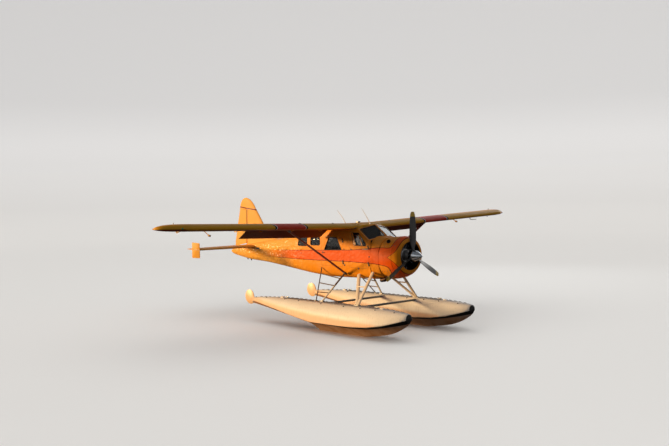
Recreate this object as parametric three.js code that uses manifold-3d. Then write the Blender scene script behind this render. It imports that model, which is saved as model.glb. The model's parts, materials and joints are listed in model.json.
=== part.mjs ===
// Single-engined high-wing bush floatplane, standing on the keels of its two floats.
// Millimetres. +X forward, +Y port, +Z up. The floor is z = 0.
import * as THREE from 'three';
import { mergeVertices } from 'three/addons/utils/BufferGeometryUtils.js';
import Module from 'manifold-3d';

const wasm = await Module();
wasm.setup();

// Driving dimensions. Every x and z below is measured from the datum, the wing root's leading edge.
const DATUM_X = 2085;
const DATUM_Z = 3160;
const SEAT = 0.3;
const GAP = 5;
const SIDES = { port: 1, starboard: -1 };

const WING = {
  rootY: 620, rootZ: -45, chord: 1590, dihedral: 2.05, incidence: 2,
  rearFaceX: -1060, hingeX: -1120, flapHingeZ: -38, aileronHingeZ: 4, stub: 14,
  flapFrom: 85, flapTo: 3265, aileronFrom: 3305, aileronTo: 5840, flapDroop: 38,
};
const FIREWALL_X = 938;
const CABIN = { front: 620, rear: -2900, wall: 40, floorZ: -1360, floorThick: 40 };
const DOOR = { hingeOut: 12, knuckle: 9, knuckleLong: 60 };
const FLOAT = { y: 1360, keelHalf: 22, nose: 2800 };
const PROP = { axisZ: -860, planeX: 1800, hubR: 90, blades: 3, backX: 1700, frontX: 1860 };
const TAIL = {
  planeZ: -850, hingeX: -6100, half: 2400, innerY: 225, tipY: 2290, stubLong: 20,
  rudderX: -6200, hornZ: 450, pin: 12,
};
const WATER_RUDDER = { pivot: [-4110, -2550], half: 10, boss: 18, bossR: 16, cheek: 14 };
const EXHAUST = { radius: 62, wall: 9, sides: 10 };

const PAINT = {
  gold: { color: 0xe39a1c, roughness: 0.35, metalness: 0.1 },
  red: { color: 0x7e1712, roughness: 0.4, metalness: 0.1 },
  cream: { color: 0xe9ddc8, roughness: 0.45, metalness: 0.1 },
  silver: { color: 0xb9bcbe, roughness: 0.35, metalness: 0.8 },
  polished: { color: 0xdfe3e6, roughness: 0.1, metalness: 1 },
  engine: { color: 0x26272a, roughness: 0.6, metalness: 0.6 },
  soot: { color: 0x3a2f2a, roughness: 0.8, metalness: 0.5 },
  blade: { color: 0x1d1e20, roughness: 0.5, metalness: 0.3 },
  rubber: { color: 0x131313, roughness: 0.85, metalness: 0 },
  glass: { color: 0x33404a, roughness: 0.05, metalness: 0, transparent: true, opacity: 0.5 },
  cloth: { color: 0x4a4038, roughness: 0.95, metalness: 0 },
  panel: { color: 0x1b1b1d, roughness: 0.7, metalness: 0 },
};

// Solids and joins.

const at = (x, y, z) => new THREE.Vector3(x, y, z);

function solid(geometry) {
  const bare = geometry.clone();
  bare.deleteAttribute('normal');
  bare.deleteAttribute('uv');
  const merged = mergeVertices(bare, 1e-3);
  const made = new wasm.Manifold(new wasm.Mesh({
    numProp: 3,
    vertProperties: merged.attributes.position.array,
    triVerts: new Uint32Array(merged.index.array),
  }));
  if (made.volume() >= 0) return made;
  const turned = new Uint32Array(merged.index.array);
  for (let i = 0; i < turned.length; i += 3) [turned[i + 1], turned[i + 2]] = [turned[i + 2], turned[i + 1]];
  return new wasm.Manifold(new wasm.Mesh({
    numProp: 3, vertProperties: merged.attributes.position.array, triVerts: turned,
  }));
}

const join = (first, ...others) => others.reduce((whole, next) => whole.add(next), first);
const cut = (first, ...others) => others.reduce((whole, next) => whole.subtract(next), first);

function geometryOf(manifold) {
  const mesh = manifold.getMesh();
  const indexed = new THREE.BufferGeometry();
  indexed.setAttribute('position', new THREE.BufferAttribute(mesh.vertProperties, 3));
  indexed.setIndex(new THREE.BufferAttribute(mesh.triVerts, 1));
  const flat = indexed.toNonIndexed();
  flat.computeVertexNormals();
  return flat;
}

// A closed skin over rings with the same number of points, ended by a fan at each end.
function loft(rings) {
  const count = rings[0].length;
  const points = rings.flat();
  const faces = [];
  for (let k = 0; k + 1 < rings.length; k += 1) {
    for (let i = 0; i < count; i += 1) {
      const a = k * count + i;
      const b = k * count + (i + 1) % count;
      faces.push(a, b, b + count, a, b + count, a + count);
    }
  }
  for (const [start, flip] of [[0, true], [(rings.length - 1) * count, false]]) {
    const centre = new THREE.Vector3();
    for (let i = 0; i < count; i += 1) centre.addScaledVector(points[start + i], 1 / count);
    const c = points.push(centre) - 1;
    for (let i = 0; i < count; i += 1) {
      const a = start + i;
      const b = start + (i + 1) % count;
      faces.push(...(flip ? [b, a, c] : [a, b, c]));
    }
  }
  const geometry = new THREE.BufferGeometry().setFromPoints(points);
  geometry.setIndex(faces);
  return solid(geometry);
}

function box([x0, x1], [y0, y1], [z0, z1]) {
  const geometry = new THREE.BoxGeometry(Math.abs(x1 - x0), Math.abs(y1 - y0), Math.abs(z1 - z0));
  return solid(geometry.translate((x0 + x1) / 2, (y0 + y1) / 2, (z0 + z1) / 2));
}

// An outline of [x, z] points in side view, made solid from y0 to y1.
function sidePlate(outline, y0, y1) {
  const shape = new THREE.Shape(outline.map(([x, z]) => new THREE.Vector2(x, z)));
  const geometry = new THREE.ExtrudeGeometry(shape, { depth: Math.abs(y1 - y0), bevelEnabled: false });
  return solid(geometry.rotateX(Math.PI / 2).translate(0, Math.max(y0, y1), 0));
}

function rod(from, to, radius, count = 8) {
  const axis = new THREE.Vector3().subVectors(to, from);
  const geometry = new THREE.CylinderGeometry(radius, radius, axis.length(), count);
  const turn = new THREE.Quaternion().setFromUnitVectors(at(0, 1, 0), axis.clone().normalize());
  geometry.applyQuaternion(turn).translate(...new THREE.Vector3().addVectors(from, to).multiplyScalar(0.5));
  return solid(geometry);
}

// A straight streamlined bar: a lens of sides across, long way along the airstream.
function fairedBar(from, to, chord, thick, count = 10) {
  const axis = new THREE.Vector3().subVectors(to, from).normalize();
  const wide = at(1, 0, 0).addScaledVector(axis, -axis.x).normalize();
  const thin = new THREE.Vector3().crossVectors(axis, wide);
  const ring = (centre) => Array.from({ length: count }, (_, i) => {
    const turn = (2 * Math.PI * i) / count;
    return centre.clone()
      .addScaledVector(wide, (Math.cos(turn) * chord) / 2)
      .addScaledVector(thin, (Math.sin(turn) * thick) / 2);
  });
  return loft([ring(from), ring(to)]);
}

const moved = (made, x, y, z) => made.translate([x, y, z]);
const mirrored = (made, side) => (side > 0 ? made : made.mirror([0, 1, 0]));
const transformed = (made, matrix) => made.transform(matrix.elements);
const flipY = (outline, side) => (side > 0 ? outline : outline.map(([x, y, z]) => [x, -y, z]));
const sides = () => Object.entries(SIDES);

// Outer shape of the body. Columns: x, half width, top z, bottom z, squareness of the section.
const BODY = [
  [940, 600, -338, -1592, 2.3],
  [620, 612, -300, -1600, 3.2],
];
const CABIN_BODY = [
  [700, 612, 35, -1600, 4.8],
  [300, 615, 35, -1605, 4.8],
  [-200, 616, 28, -1612, 5.0],
  [-1100, 616, -10, -1630, 5.4],
  [-1600, 614, -105, -1620, 5.2],
  [-2330, 596, -240, -1580, 4.4],
  [-2901, 568, -330, -1530, 4.0],
];
const TAIL_BODY = [
  [-2900, 568, -330, -1530, 4.0],
  [-3930, 440, -480, -1440, 3.4],
  [-5000, 305, -640, -1360, 2.9],
  [-5830, 205, -760, -1325, 2.6],
  [-6640, 105, -872, -1230, 2.3],
  [-7000, 50, -968, -1166, 2],
  [-7120, 14, -1050, -1108, 2],
];

function bodyRing([x, half, top, bottom, square], inset = 0, count = 28) {
  const middle = (top + bottom) / 2;
  const high = (top - bottom) / 2 - inset;
  return Array.from({ length: count }, (_, i) => {
    const turn = (2 * Math.PI * (i + 0.5)) / count;
    const bend = (value) => Math.sign(value) * Math.abs(value) ** (2 / square);
    return at(x, bend(Math.cos(turn)) * (half - inset), middle + bend(Math.sin(turn)) * high);
  });
}

const bodyLoft = (table, inset = 0) => loft(table.map((row) => bodyRing(row, inset)));

// Doors and side windows, outlines in side view. A hinge has its x and the foot of each knuckle.
const OPENINGS = {
  cockpit_door: {
    edge: [[-250, -1270], [556, -1270], [556, -520], [200, -170], [-250, -170]],
    window: [[-70, -588], [440, -588], [440, -515], [130, -210], [-180, -210]],
    hinge: [560, [-1190, -690]],
  },
  cabin_door: {
    edge: [[-1555, -1270], [-564, -1270], [-564, -365], [-1400, -365], [-1555, -440]],
    window: [[-1420, -780], [-625, -750], [-830, -385], [-1200, -385]],
    hinge: [-560, [-1190, -520]],
  },
};
const REAR_WINDOWS = {
  rear_window_fore: [[-2085, -655], [-1630, -645], [-1630, -395], [-2085, -395]],
  rear_window_aft: [[-2735, -700], [-2270, -690], [-2270, -410], [-2735, -410]],
};

// An outline moved outwards by a margin, edge by edge.
function grown(outline, margin) {
  const count = outline.length;
  const edges = outline.map(([x0, z0], i) => {
    const [x1, z1] = outline[(i + 1) % count];
    const long = Math.hypot(x1 - x0, z1 - z0);
    const normal = [(z1 - z0) / long, -(x1 - x0) / long];
    return [normal, normal[0] * x0 + normal[1] * z0 + margin];
  });
  return edges.map(([[a, b], c], i) => {
    const [[d, e], f] = edges[(i + count - 1) % count];
    const under = a * e - b * d;
    return [(c * e - b * f) / under, (a * f - c * d) / under];
  });
}

const FAR = 900;
const through = (outline, side, margin = 0) => sidePlate(grown(outline, margin), side * 300, side * FAR);

// Windscreen. Corners of the port pane: middle low, side low, side high, middle high.
const SCREEN = {
  corners: [[690, 22, -310], [570, 598, -412], [165, 598, -100], [250, 22, 0]],
  thick: 26, rim: 34, glass: 9,
};

// One windscreen pane: corners pushed out in the pane's own plane by a margin, thick along the normal.
function screenPane(side, margin, inner, outer) {
  const corners = flipY(SCREEN.corners, side).map((p) => at(...p));
  const across = new THREE.Vector3().subVectors(corners[1], corners[0]).normalize();
  const up = new THREE.Vector3().subVectors(corners[3], corners[0]);
  const normal = new THREE.Vector3().crossVectors(across, up).normalize();
  if (normal.x < 0) normal.negate();
  up.crossVectors(normal, across).normalize();
  const flat = corners.map((p) => {
    const from = new THREE.Vector3().subVectors(p, corners[0]);
    return [from.dot(across), from.dot(up)];
  });
  const wound = flat[1][0] * flat[3][1] > 0 ? flat : flat.slice().reverse();
  const outline = grown(wound, margin);
  const ring = (height) => outline.map(([u, v]) => corners[0].clone()
    .addScaledVector(across, u).addScaledVector(up, v).addScaledVector(normal, height));
  return loft([ring(inner), ring(outer)]);
}

const parts = [];
function add(name, made, paint) {
  const material = new THREE.MeshStandardMaterial(PAINT[paint]);
  const mesh = new THREE.Mesh(geometryOf(made), material);
  mesh.name = name;
  parts.push(mesh);
  return made;
}

// Wing sections. Columns: span from the root, leading edge x, trailing edge x, thickness share.
const WING_STATIONS = [
  [-20, 0, -1590, 1],
  [5850, 0, -1590, 1],
  [6060, -90, -1530, 0.97],
  [6230, -220, -1350, 0.9],
  [6380, -340, -1140, 0.78],
  [6500, -460, -960, 0.6],
  [6575, -570, -830, 0.4],
  [6600, -640, -740, 0.2],
];
// Aerofoil. Columns: share of the chord, upper and lower height as shares of the root chord.
const AEROFOIL = [
  [0, 0, 0],
  [0.0125, 0.024, -0.016],
  [0.05, 0.046, -0.028],
  [0.15, 0.073, -0.040],
  [0.32, 0.084, -0.044],
  [0.5, 0.074, -0.040],
  [0.72, 0.046, -0.026],
  [1, 0.003, -0.002],
];

function wingRing(y, lead, trail, share) {
  const point = (along, height) => at(lead + (trail - lead) * along, y, height * WING.chord * share);
  const upper = AEROFOIL.map(([along, high]) => point(along, high));
  const lower = AEROFOIL.slice(1).reverse().map(([along, , low]) => point(along, low));
  return [...upper, ...lower];
}

const WING_PLACE = new THREE.Matrix4()
  .makeTranslation(0, WING.rootY, WING.rootZ)
  .multiply(new THREE.Matrix4().makeRotationX(THREE.MathUtils.degToRad(WING.dihedral)))
  .multiply(new THREE.Matrix4().makeRotationY(THREE.MathUtils.degToRad(-WING.incidence)));
const inWing = (made, side) => mirrored(transformed(made, WING_PLACE), side);
const outboard = (made, side) => made.intersect(
  box([-2000, 200], [side * WING.rootY, side * 8000], [-400, 900]));

// Flap and aileron sections about the hinge, as [x, z] offsets from it with the surface in line.
const FLAP_SECTION = [
  [38, -6], [46, 22], [40, 70], [8, 114], [-120, 92],
  [-300, 50], [-468, 43], [-468, 35], [-300, 14], [-30, -8],
];
const AILERON_SECTION = [
  [34, -20], [40, 10], [32, 44], [-6, 74], [-120, 52],
  [-300, 18], [-468, 2], [-468, -6], [-300, -22], [-20, -46],
];

function surface(section, hingeZ, from, to, turn) {
  const c = Math.cos(THREE.MathUtils.degToRad(turn));
  const s = Math.sin(THREE.MathUtils.degToRad(turn));
  const ring = (y) => section.map(([x, z]) => at(WING.hingeX + x * c - z * s, y, hingeZ + x * s + z * c));
  const stub = (a, b) => rod(at(WING.hingeX, a, hingeZ), at(WING.hingeX, b, hingeZ), WING.stub);
  return join(
    loft([ring(from + GAP), ring(to - GAP)]),
    stub(from + SEAT, from + 2 * GAP),
    stub(to - 2 * GAP, to - SEAT),
  );
}

function makeWing(name, side) {
  const bay = (from, to) => box([WING.rearFaceX, -1700], [from, to], [-300, 300]);
  const balanceY = 4640;
  const panel = cut(
    loft(WING_STATIONS.map((row) => wingRing(...row))),
    bay(WING.flapFrom, WING.flapTo),
    bay(WING.aileronFrom, WING.aileronTo),
  );
  const wing = add(`wing_${name}`, outboard(inWing(panel, side), side), 'gold');
  const flap = surface(FLAP_SECTION, WING.flapHingeZ, WING.flapFrom, WING.flapTo, WING.flapDroop);
  add(`flap_${name}`, inWing(flap, side), 'gold');
  const aileron = join(
    surface(AILERON_SECTION, WING.aileronHingeZ, WING.aileronFrom, WING.aileronTo, 0),
    rod(at(-1330, balanceY, -18), at(-1010, balanceY, -185), 11),
    rod(at(-1045, balanceY, -180), at(-955, balanceY, -196), 28, 10),
  );
  add(`aileron_${name}`, inWing(aileron, side), 'gold');
  return wing;
}

// Body.

// A table of sections with its first and last rows moved apart, to cut right through.
function lengthened(table, front, rear = 0) {
  const last = table.length - 1;
  return table.map(([x, ...row], i) => [x + (i === 0 ? front : 0) - (i === last ? rear : 0), ...row]);
}

// One door with its knuckles, and the same knuckles' halves on the wall: [door, wall].
function hangDoor(door, wall, side, [hingeX, heights]) {
  const { hingeOut, knuckle, knuckleLong } = DOOR;
  const skinY = side * 616;
  const axisY = skinY + side * hingeOut;
  // The leaf of a knuckle stays in the skin on its own side of the hinge.
  const half = (z, toX, clearX) => join(
    rod(at(hingeX, axisY, z), at(hingeX, axisY, z + knuckleLong), knuckle),
    box([hingeX, toX], [axisY + side * 4, side * 590], [z, z + knuckleLong]),
  ).subtract(box([hingeX + clearX, hingeX + clearX + 45 * Math.sign(hingeX - toX)],
    [skinY + side * 3, side * 560], [-3000, 0]));
  for (const z of heights) {
    wall = wall.add(half(z, hingeX + 26, 1));
    door = door.add(half(z + knuckleLong + SEAT, hingeX - 30, -4));
  }
  return [door, wall];
}

function makeBody() {
  const cabinOuter = bodyLoft(CABIN_BODY);
  const cabinInner = bodyLoft(lengthened(CABIN_BODY, 50, 50), CABIN.wall);
  const screens = Object.values(SIDES).map((side) => screenPane(side, 900, -SEAT, 900)
    .intersect(box([-400, 1600], side > 0 ? [0, 2000] : [-2000, 0], [-900, 900])));
  const shell = cut(cabinOuter, cabinInner, ...screens);
  const range = [CABIN.rear + SEAT, CABIN.front - SEAT];
  const pane = cut(bodyLoft(CABIN_BODY, 14), bodyLoft(lengthened(CABIN_BODY, 1, 1), 23));

  const floor = join(
    shell.intersect(box(range, [-700, 700], [-1800, CABIN.floorZ])),
    cabinOuter.intersect(box(range, [-700, 700], [CABIN.floorZ - CABIN.floorThick, CABIN.floorZ])),
  );
  // The side walls run from the floor to the roof line, which falls behind the wing.
  const roofLine = [[700, -125], [-1590, -125], [-1760, -206], [-2905, -385]];
  const wallOutline = [...roofLine, [-2905, CABIN.floorZ + SEAT], [700, CABIN.floorZ + SEAT]];
  const roofOutline = [...roofLine.map(([x, z]) => [x, z + SEAT]), [-2905, 400], [700, 400]];
  const walls = {};
  for (const [name, side] of sides()) {
    let wall = shell.intersect(sidePlate(wallOutline, side * 150, side * FAR))
      .intersect(box(range, [-FAR, FAR], [-2000, 500]));
    for (const [doorName, { edge, window, hinge }] of Object.entries(OPENINGS)) {
      let door = shell.intersect(through(edge, side)).subtract(through(window, side));
      wall = wall.subtract(through(edge, side, GAP));
      [door, wall] = hangDoor(door, wall, side, hinge);
      add(`${doorName}_${name}`, door, 'gold');
      add(`${doorName}_glass_${name}`, pane.intersect(through(window, side, -SEAT)), 'glass');
    }
    for (const [windowName, outline] of Object.entries(REAR_WINDOWS)) {
      wall = wall.subtract(through(outline, side));
      add(`${windowName}_${name}`, pane.intersect(through(outline, side, -SEAT)), 'glass');
    }
    walls[name] = add(`cabin_side_${name}`, wall, 'gold');
  }

  // The roof joins the wing's middle section, a brow over the windscreen and the spine behind.
  const middle = transformed(
    loft([-WING.rootY + SEAT, WING.rootY - SEAT].map((y) => wingRing(y, 0, -1590, 1))),
    new THREE.Matrix4().makeTranslation(0, 0, WING.rootZ)
      .multiply(new THREE.Matrix4().makeRotationY(THREE.MathUtils.degToRad(-WING.incidence))),
  );
  const skin = shell.intersect(sidePlate(roofOutline, -FAR, FAR)).intersect(
    box(range, [-WING.rootY + SEAT, WING.rootY - SEAT], [-500, 400]));
  const hoistPad = box([-550, -450], [-50, 50], [20, 110]);
  const roof = join(skin, middle.intersect(box([-1586, 0], [-700, 700], [-124, 300])), hoistPad);
  add('cabin_roof', roof, 'gold');
  const belly = add('cabin_floor', floor, 'gold');

  add('cabin_bulkhead', bodyLoft(CABIN_BODY, CABIN.wall + SEAT).intersect(
    box([CABIN.rear + 1, CABIN.rear + 26], [-FAR, FAR], [CABIN.floorZ + SEAT, -390])), 'gold');
  const nose = bodyLoft(BODY).intersect(box([CABIN.front, FIREWALL_X], [-FAR, FAR], [-2000, 0]));
  return { nose: add('nose_section', nose, 'gold'), belly, walls };
}

function makeWindscreen(nose) {
  const { thick, rim, glass } = SCREEN;
  const rims = Object.values(SIDES).map((side) => cut(
    screenPane(side, rim, 0, thick), screenPane(side, 0, -1, thick + 1)));
  const post = loft([690, 250].map((x, i) => {
    const z = [-310, 0][i];
    return [[-40, 14], [40, 14], [40, 50], [-40, 50]].map(([y, up]) => at(x + up * 0.45, y, z + up * 0.75));
  }));
  const frame = cut(
    join(rims[0], rims[1], post),
    moved(nose, 0, 0, SEAT),
    ...Object.values(SIDES).map((side) => screenPane(side, 0, -60, 120)),
  );
  add('windscreen_frame', frame, 'gold');
  for (const [name, side] of sides()) {
    add(`windscreen_${name}`, cut(screenPane(side, -SEAT, 6, 6 + glass), moved(nose, 0, 0, SEAT)), 'glass');
  }
}

function makeTail() {
  const outer = bodyLoft(TAIL_BODY);
  const inner = bodyLoft(lengthened(TAIL_BODY.slice(0, 5), 50), 22);
  const foil = [[0, 0], [0.05, 0.5], [0.25, 0.95], [0.5, 1], [0.8, 0.85], [1, 0.7]];

  // Tailplane. Columns: span, leading edge x, half thickness.
  const planeRows = [[0, -5450, 48], [2250, -5610, 34], [TAIL.half, -5650, 26]];
  const { planeZ, hingeX, innerY, tipY, stubLong } = TAIL;
  const planeRing = (y, lead, rear, half) => [
    ...foil.map(([along, high]) => at(lead + (rear - lead) * along, y, planeZ + high * half)),
    ...foil.slice(1).reverse().map(
      ([along, high]) => at(lead + (rear - lead) * along, y, planeZ - high * half)),
  ];
  const rearFace = hingeX + 52;
  const planeWith = (extra) => {
    const left = planeRows.slice(1).reverse().map(([y, lead, half]) => [-y, lead, half]);
    const rows = [...left, ...planeRows];
    return loft(rows.map(([y, lead, half]) => planeRing(y, lead + extra, rearFace - extra, half + extra)));
  };
  // Each elevator turns between a bracket at the body and the fixed tip.
  const tipProfile = (y) => [[rearFace + 10, 0.9], [-6300, 0.7], [-6460 + (y - tipY) * 0.4, 0.1]];
  const hinges = Object.values(SIDES).flatMap((side) => [
    box([rearFace + 10, hingeX - 22], [side * (innerY - stubLong), side * innerY],
      [planeZ - 22, planeZ + 22]),
    loft([[tipY, 30], [TAIL.half, 24]].map(([y, half]) => [
      ...tipProfile(y).map(([x, share]) => at(x, side * y, planeZ + half * share)),
      ...tipProfile(y).reverse().map(([x, share]) => at(x, side * y, planeZ - half * share)),
    ])),
  ]);
  add('tailplane', join(planeWith(0), ...hinges), 'gold');

  for (const [name, side] of sides()) {
    const section = (y, aft, half) => {
      const upper = [[34, 0.55], [20, 0.95], [-20, 1], [-230, 0.6], [aft, 0.12]];
      const lower = upper.map(([x, share]) => [x, -share]).reverse();
      return [...upper, ...lower].map(([x, share]) => at(hingeX + x, side * y, planeZ + half * share));
    };
    const blade = loft([section(innerY + GAP, -500, 33), section(tipY - GAP, -370, 26)]);
    // The inboard end is cut back so that the rudder can swing.
    const notchPlan = [[-40, 100], [-40, innerY], [-620, 400], [-620, 100]];
    const notch = loft([-200, 200].map(
      (z) => notchPlan.map(([x, y]) => at(hingeX + x, side * y, planeZ + z))));
    const pin = (a, b) => rod(at(hingeX, side * a, planeZ), at(hingeX, side * b, planeZ), TAIL.pin);
    add(`elevator_${name}`, join(cut(blade, notch),
      pin(innerY + SEAT, innerY + 2 * GAP), pin(tipY - 2 * GAP, tipY - SEAT)), 'gold');
    add(`finlet_${name}`, sidePlate([[-5640, -1130], [-5650, -630], [-6085, -615], [-6095, -1140]],
      side * (TAIL.half + SEAT), side * (TAIL.half + SEAT + 16)), 'gold');
  }

  // Fin and rudder. Columns: z, leading edge x, rear edge x, half thickness.
  const { rudderX, hornZ } = TAIL;
  const column = (rows, share) => loft(rows.map(([z, lead, rear, half]) => [
    ...share.map(([along, wide]) => at(lead + (rear - lead) * along, wide * half, z)),
    ...share.slice(1).reverse().map(([along, wide]) => at(lead + (rear - lead) * along, -wide * half, z)),
  ]));
  const finRear = rudderX + 60;
  const rearOf = (z) => -6910 + (z + 900) * 0.243;
  const footZ = -790;
  const bracketHigh = 22;
  const finTop = hornZ - GAP;
  const bracket = (z0, z1) => box([finRear + 12, rudderX - 14], [-16, 16], [z0, z1]);
  const fin = join(
    column([
      [-900, -3900, finRear, 52], [-560, -4300, finRear, 50], [-420, -4850, finRear, 46],
      [-300, -5035, finRear, 44], [finTop, -5640, finRear, 32],
    ], foil),
    bracket(finTop - bracketHigh, finTop),
    bracket(-860, footZ),
  );
  const tail = cut(outer, inner, planeWith(SEAT));
  add('tail_cone', tail, 'gold');
  add('fin', cut(fin, moved(outer, 0, 0, SEAT)), 'gold');

  const rudderFoil = [[0, 0], [0.02, 0.6], [0.08, 0.95], [0.3, 0.8], [0.7, 0.4], [1, 0.08]];
  const rudderFront = rudderX + 42;
  const lower = column([
    [footZ + 20, rudderFront, rearOf(footZ), 40], [-200, rudderFront, rearOf(-200), 36],
    [finTop - bracketHigh - 2 * GAP, rudderFront, rearOf(hornZ), 30],
  ], rudderFoil);
  const bottomRows = [[footZ + 20, -6250, -6860, 14], [-866, -6730, -6890, 6]];
  const bottom = loft(bottomRows.map(([z, lead, rear, half]) => [
    at(lead, half, z), at(rear, 4, z), at(rear, -4, z), at(lead, -half, z),
  ]));
  const horn = column([
    [hornZ, -5645, rearOf(hornZ), 33], [610, -5770, -6538, 28], [730, -5905, -6462, 22],
    [805, -6040, -6375, 14], [840, -6180, -6270, 5],
  ], foil.slice(0, 5).concat([[1, 0.1]]));
  const web = column([hornZ - 45, hornZ + 5].map((z) => [z, rudderX - 30, rearOf(hornZ), 26]),
    [[0, 0.8], [0.5, 0.6], [1, 0.1]]);
  const post = (a, b) => rod(at(rudderX, 0, a), at(rudderX, 0, b), TAIL.pin);
  add('rudder', join(
    lower, bottom, horn, web, post(finTop + SEAT, hornZ + 4), post(footZ + SEAT, footZ + 25)), 'gold');
}

// Engine, cowl and propeller.

// Cowl. Columns: x, centre z, half width, half height.
const COWL = [
  [1700, -868, 440, 440],
  [1692, -869, 490, 490],
  [1655, -872, 536, 538],
  [1570, -884, 575, 582],
  [1400, -914, 604, 614],
  [1180, -945, 614, 628],
  [FIREWALL_X + SEAT, -964, 606, 624],
];
const COWL_INSIDE = [
  [1720, -868, 424, 424],
  [1655, -870, 424, 424],
  [1610, -876, 545, 548],
  [1400, -914, 584, 594],
  [1180, -945, 594, 608],
  [920, -964, 586, 604],
];

const circle = (count, radius) => Array.from({ length: count }, (_, i) => {
  const turn = (2 * Math.PI * i) / count;
  return [Math.cos(turn) * radius, Math.sin(turn) * radius];
});

function makeNose() {
  const cowlRing = ([x, z, wide, high]) => circle(28, 1).map(([u, v]) => at(x, u * wide, z + v * high));
  const pipePath = new THREE.CatmullRomCurve3([
    at(1190, -285, -1420), at(1080, -300, -1520), at(950, -320, -1590), at(800, -330, -1615)]);
  const pipe = (radius) => solid(new THREE.ExtrudeGeometry(
    new THREE.Shape(circle(EXHAUST.sides, radius).map(([u, v]) => new THREE.Vector2(u, v))),
    { steps: 5, bevelEnabled: false, extrudePath: pipePath }));
  const ventHole = rod(at(1202, -350, -504), at(1202, -440, -392), 54, 12);
  add('engine_cowl', cut(
    loft(COWL.map(cowlRing)), loft(COWL_INSIDE.map(cowlRing)),
    pipe(EXHAUST.radius + 2 * SEAT), ventHole), 'gold');
  const pipeMouth = rod(
    at(765, -332, -1621), at(890, -324, -1600), EXHAUST.radius - EXHAUST.wall, EXHAUST.sides);
  add('exhaust_pipe', cut(pipe(EXHAUST.radius), pipeMouth), 'soot');

  const lathe = (profile, count) => solid(new THREE.LatheGeometry(
    profile.map(([x, r]) => new THREE.Vector2(r, x)), count).rotateZ(-Math.PI / 2));
  const onAxis = (made) => moved(made, 0, 0, PROP.axisZ);
  const crankcase = lathe([
    [FIREWALL_X + SEAT, 0], [FIREWALL_X + SEAT, 300], [1180, 330], [1230, 250], [1400, 250], [1450, 200],
    [1560, 130], [1640, 80], [1640, 60], [PROP.backX - SEAT, 60], [PROP.backX - SEAT, 0],
  ], 16);
  const cylinders = Array.from({ length: 9 }, (_, i) => {
    const turn = (2 * Math.PI * i) / 9;
    const out = (r) => at(1310, -Math.sin(turn) * r, Math.cos(turn) * r);
    return join(rod(out(200), out(400), 84, 8), rod(out(390), out(500), 96, 8));
  });
  add('engine', onAxis(join(crankcase, ...cylinders)), 'engine');

  // Blade. Columns: radius, chord, thickness, pitch in degrees.
  const bladeRows = [
    [60, 90, 90, 90], [190, 95, 80, 60], [420, 190, 34, 42], [800, 205, 20, 27],
    [1150, 170, 13, 20], [1270, 120, 9, 18], [1295, 60, 6, 17],
  ];
  const bladeRing = ([radius, chord, thick, pitch], extra) => circle(8, 0.5).map(([u, v]) => {
    const along = u * (chord + extra);
    const off = v * (thick + extra);
    const lean = THREE.MathUtils.degToRad(pitch);
    const c = Math.cos(lean);
    const s = Math.sin(lean);
    return at(s * along + c * off, c * along - s * off, radius);
  });
  const blades = (extra) => Array.from({ length: PROP.blades }, (_, k) => {
    const spin = new THREE.Matrix4().makeRotationX((2 * Math.PI * k) / PROP.blades);
    const made = loft(bladeRows.map((row) => bladeRing(row, extra)));
    return moved(transformed(made, spin), PROP.planeX, 0, 0);
  });
  const hub = (extra) => rod(
    at(PROP.backX - extra, 0, 0), at(PROP.frontX + extra, 0, 0), PROP.hubR + extra, 16);
  add('propeller', onAxis(join(hub(0), ...blades(0))), 'blade');
  const cone = lathe([
    [1728, 0], [1728, 168], [1860, 166], [1960, 140], [2050, 98], [2120, 50], [2160, 16], [2170, 0],
  ], 20);
  add('spinner', onAxis(cut(cone, hub(SEAT), ...blades(2 * SEAT))), 'polished');
}

// Floats. Columns: x, half beam, crest z, chine z, keel z.
const FLOAT_FORE = [
  [-800, 452, -2290, -2868, -3160],
  [500, 456, -2290, -2862, -3160],
  [1000, 454, -2286, -2846, -3160],
  [1600, 436, -2288, -2808, -3095],
  [2150, 372, -2304, -2722, -2990],
  [2600, 262, -2328, -2606, -2810],
  [2850, 150, -2352, -2528, -2650],
  [2930, 70, -2385, -2500, -2560],
  [2950, 30, -2415, -2480, -2520],
];
const FLOAT_AFT = [
  [-800, 452, -2290, -2868, -3060],
  [-1800, 408, -2292, -2745, -2905],
  [-2800, 305, -2318, -2615, -2760],
  [-3600, 172, -2358, -2540, -2650],
  [-4050, 96, -2396, -2500, -2595],
];

function floatRing([x, beam, crest, chine, keel]) {
  const deep = crest - chine;
  // Deck columns: share of the half beam, share of the depth from crest to chine.
  const deck = [[0.24, 0], [0.55, 0.09], [0.82, 0.3], [0.96, 0.62], [1, 1]];
  const half = [
    ...deck.map(([wide, down]) => [beam * wide, crest - deep * down]),
    [Math.min(FLOAT.keelHalf, beam * 0.5), keel],
  ];
  return [...half, ...half.slice().reverse().map(([y, z]) => [-y, z])].map(([y, z]) => at(x, y, z));
}

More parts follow.
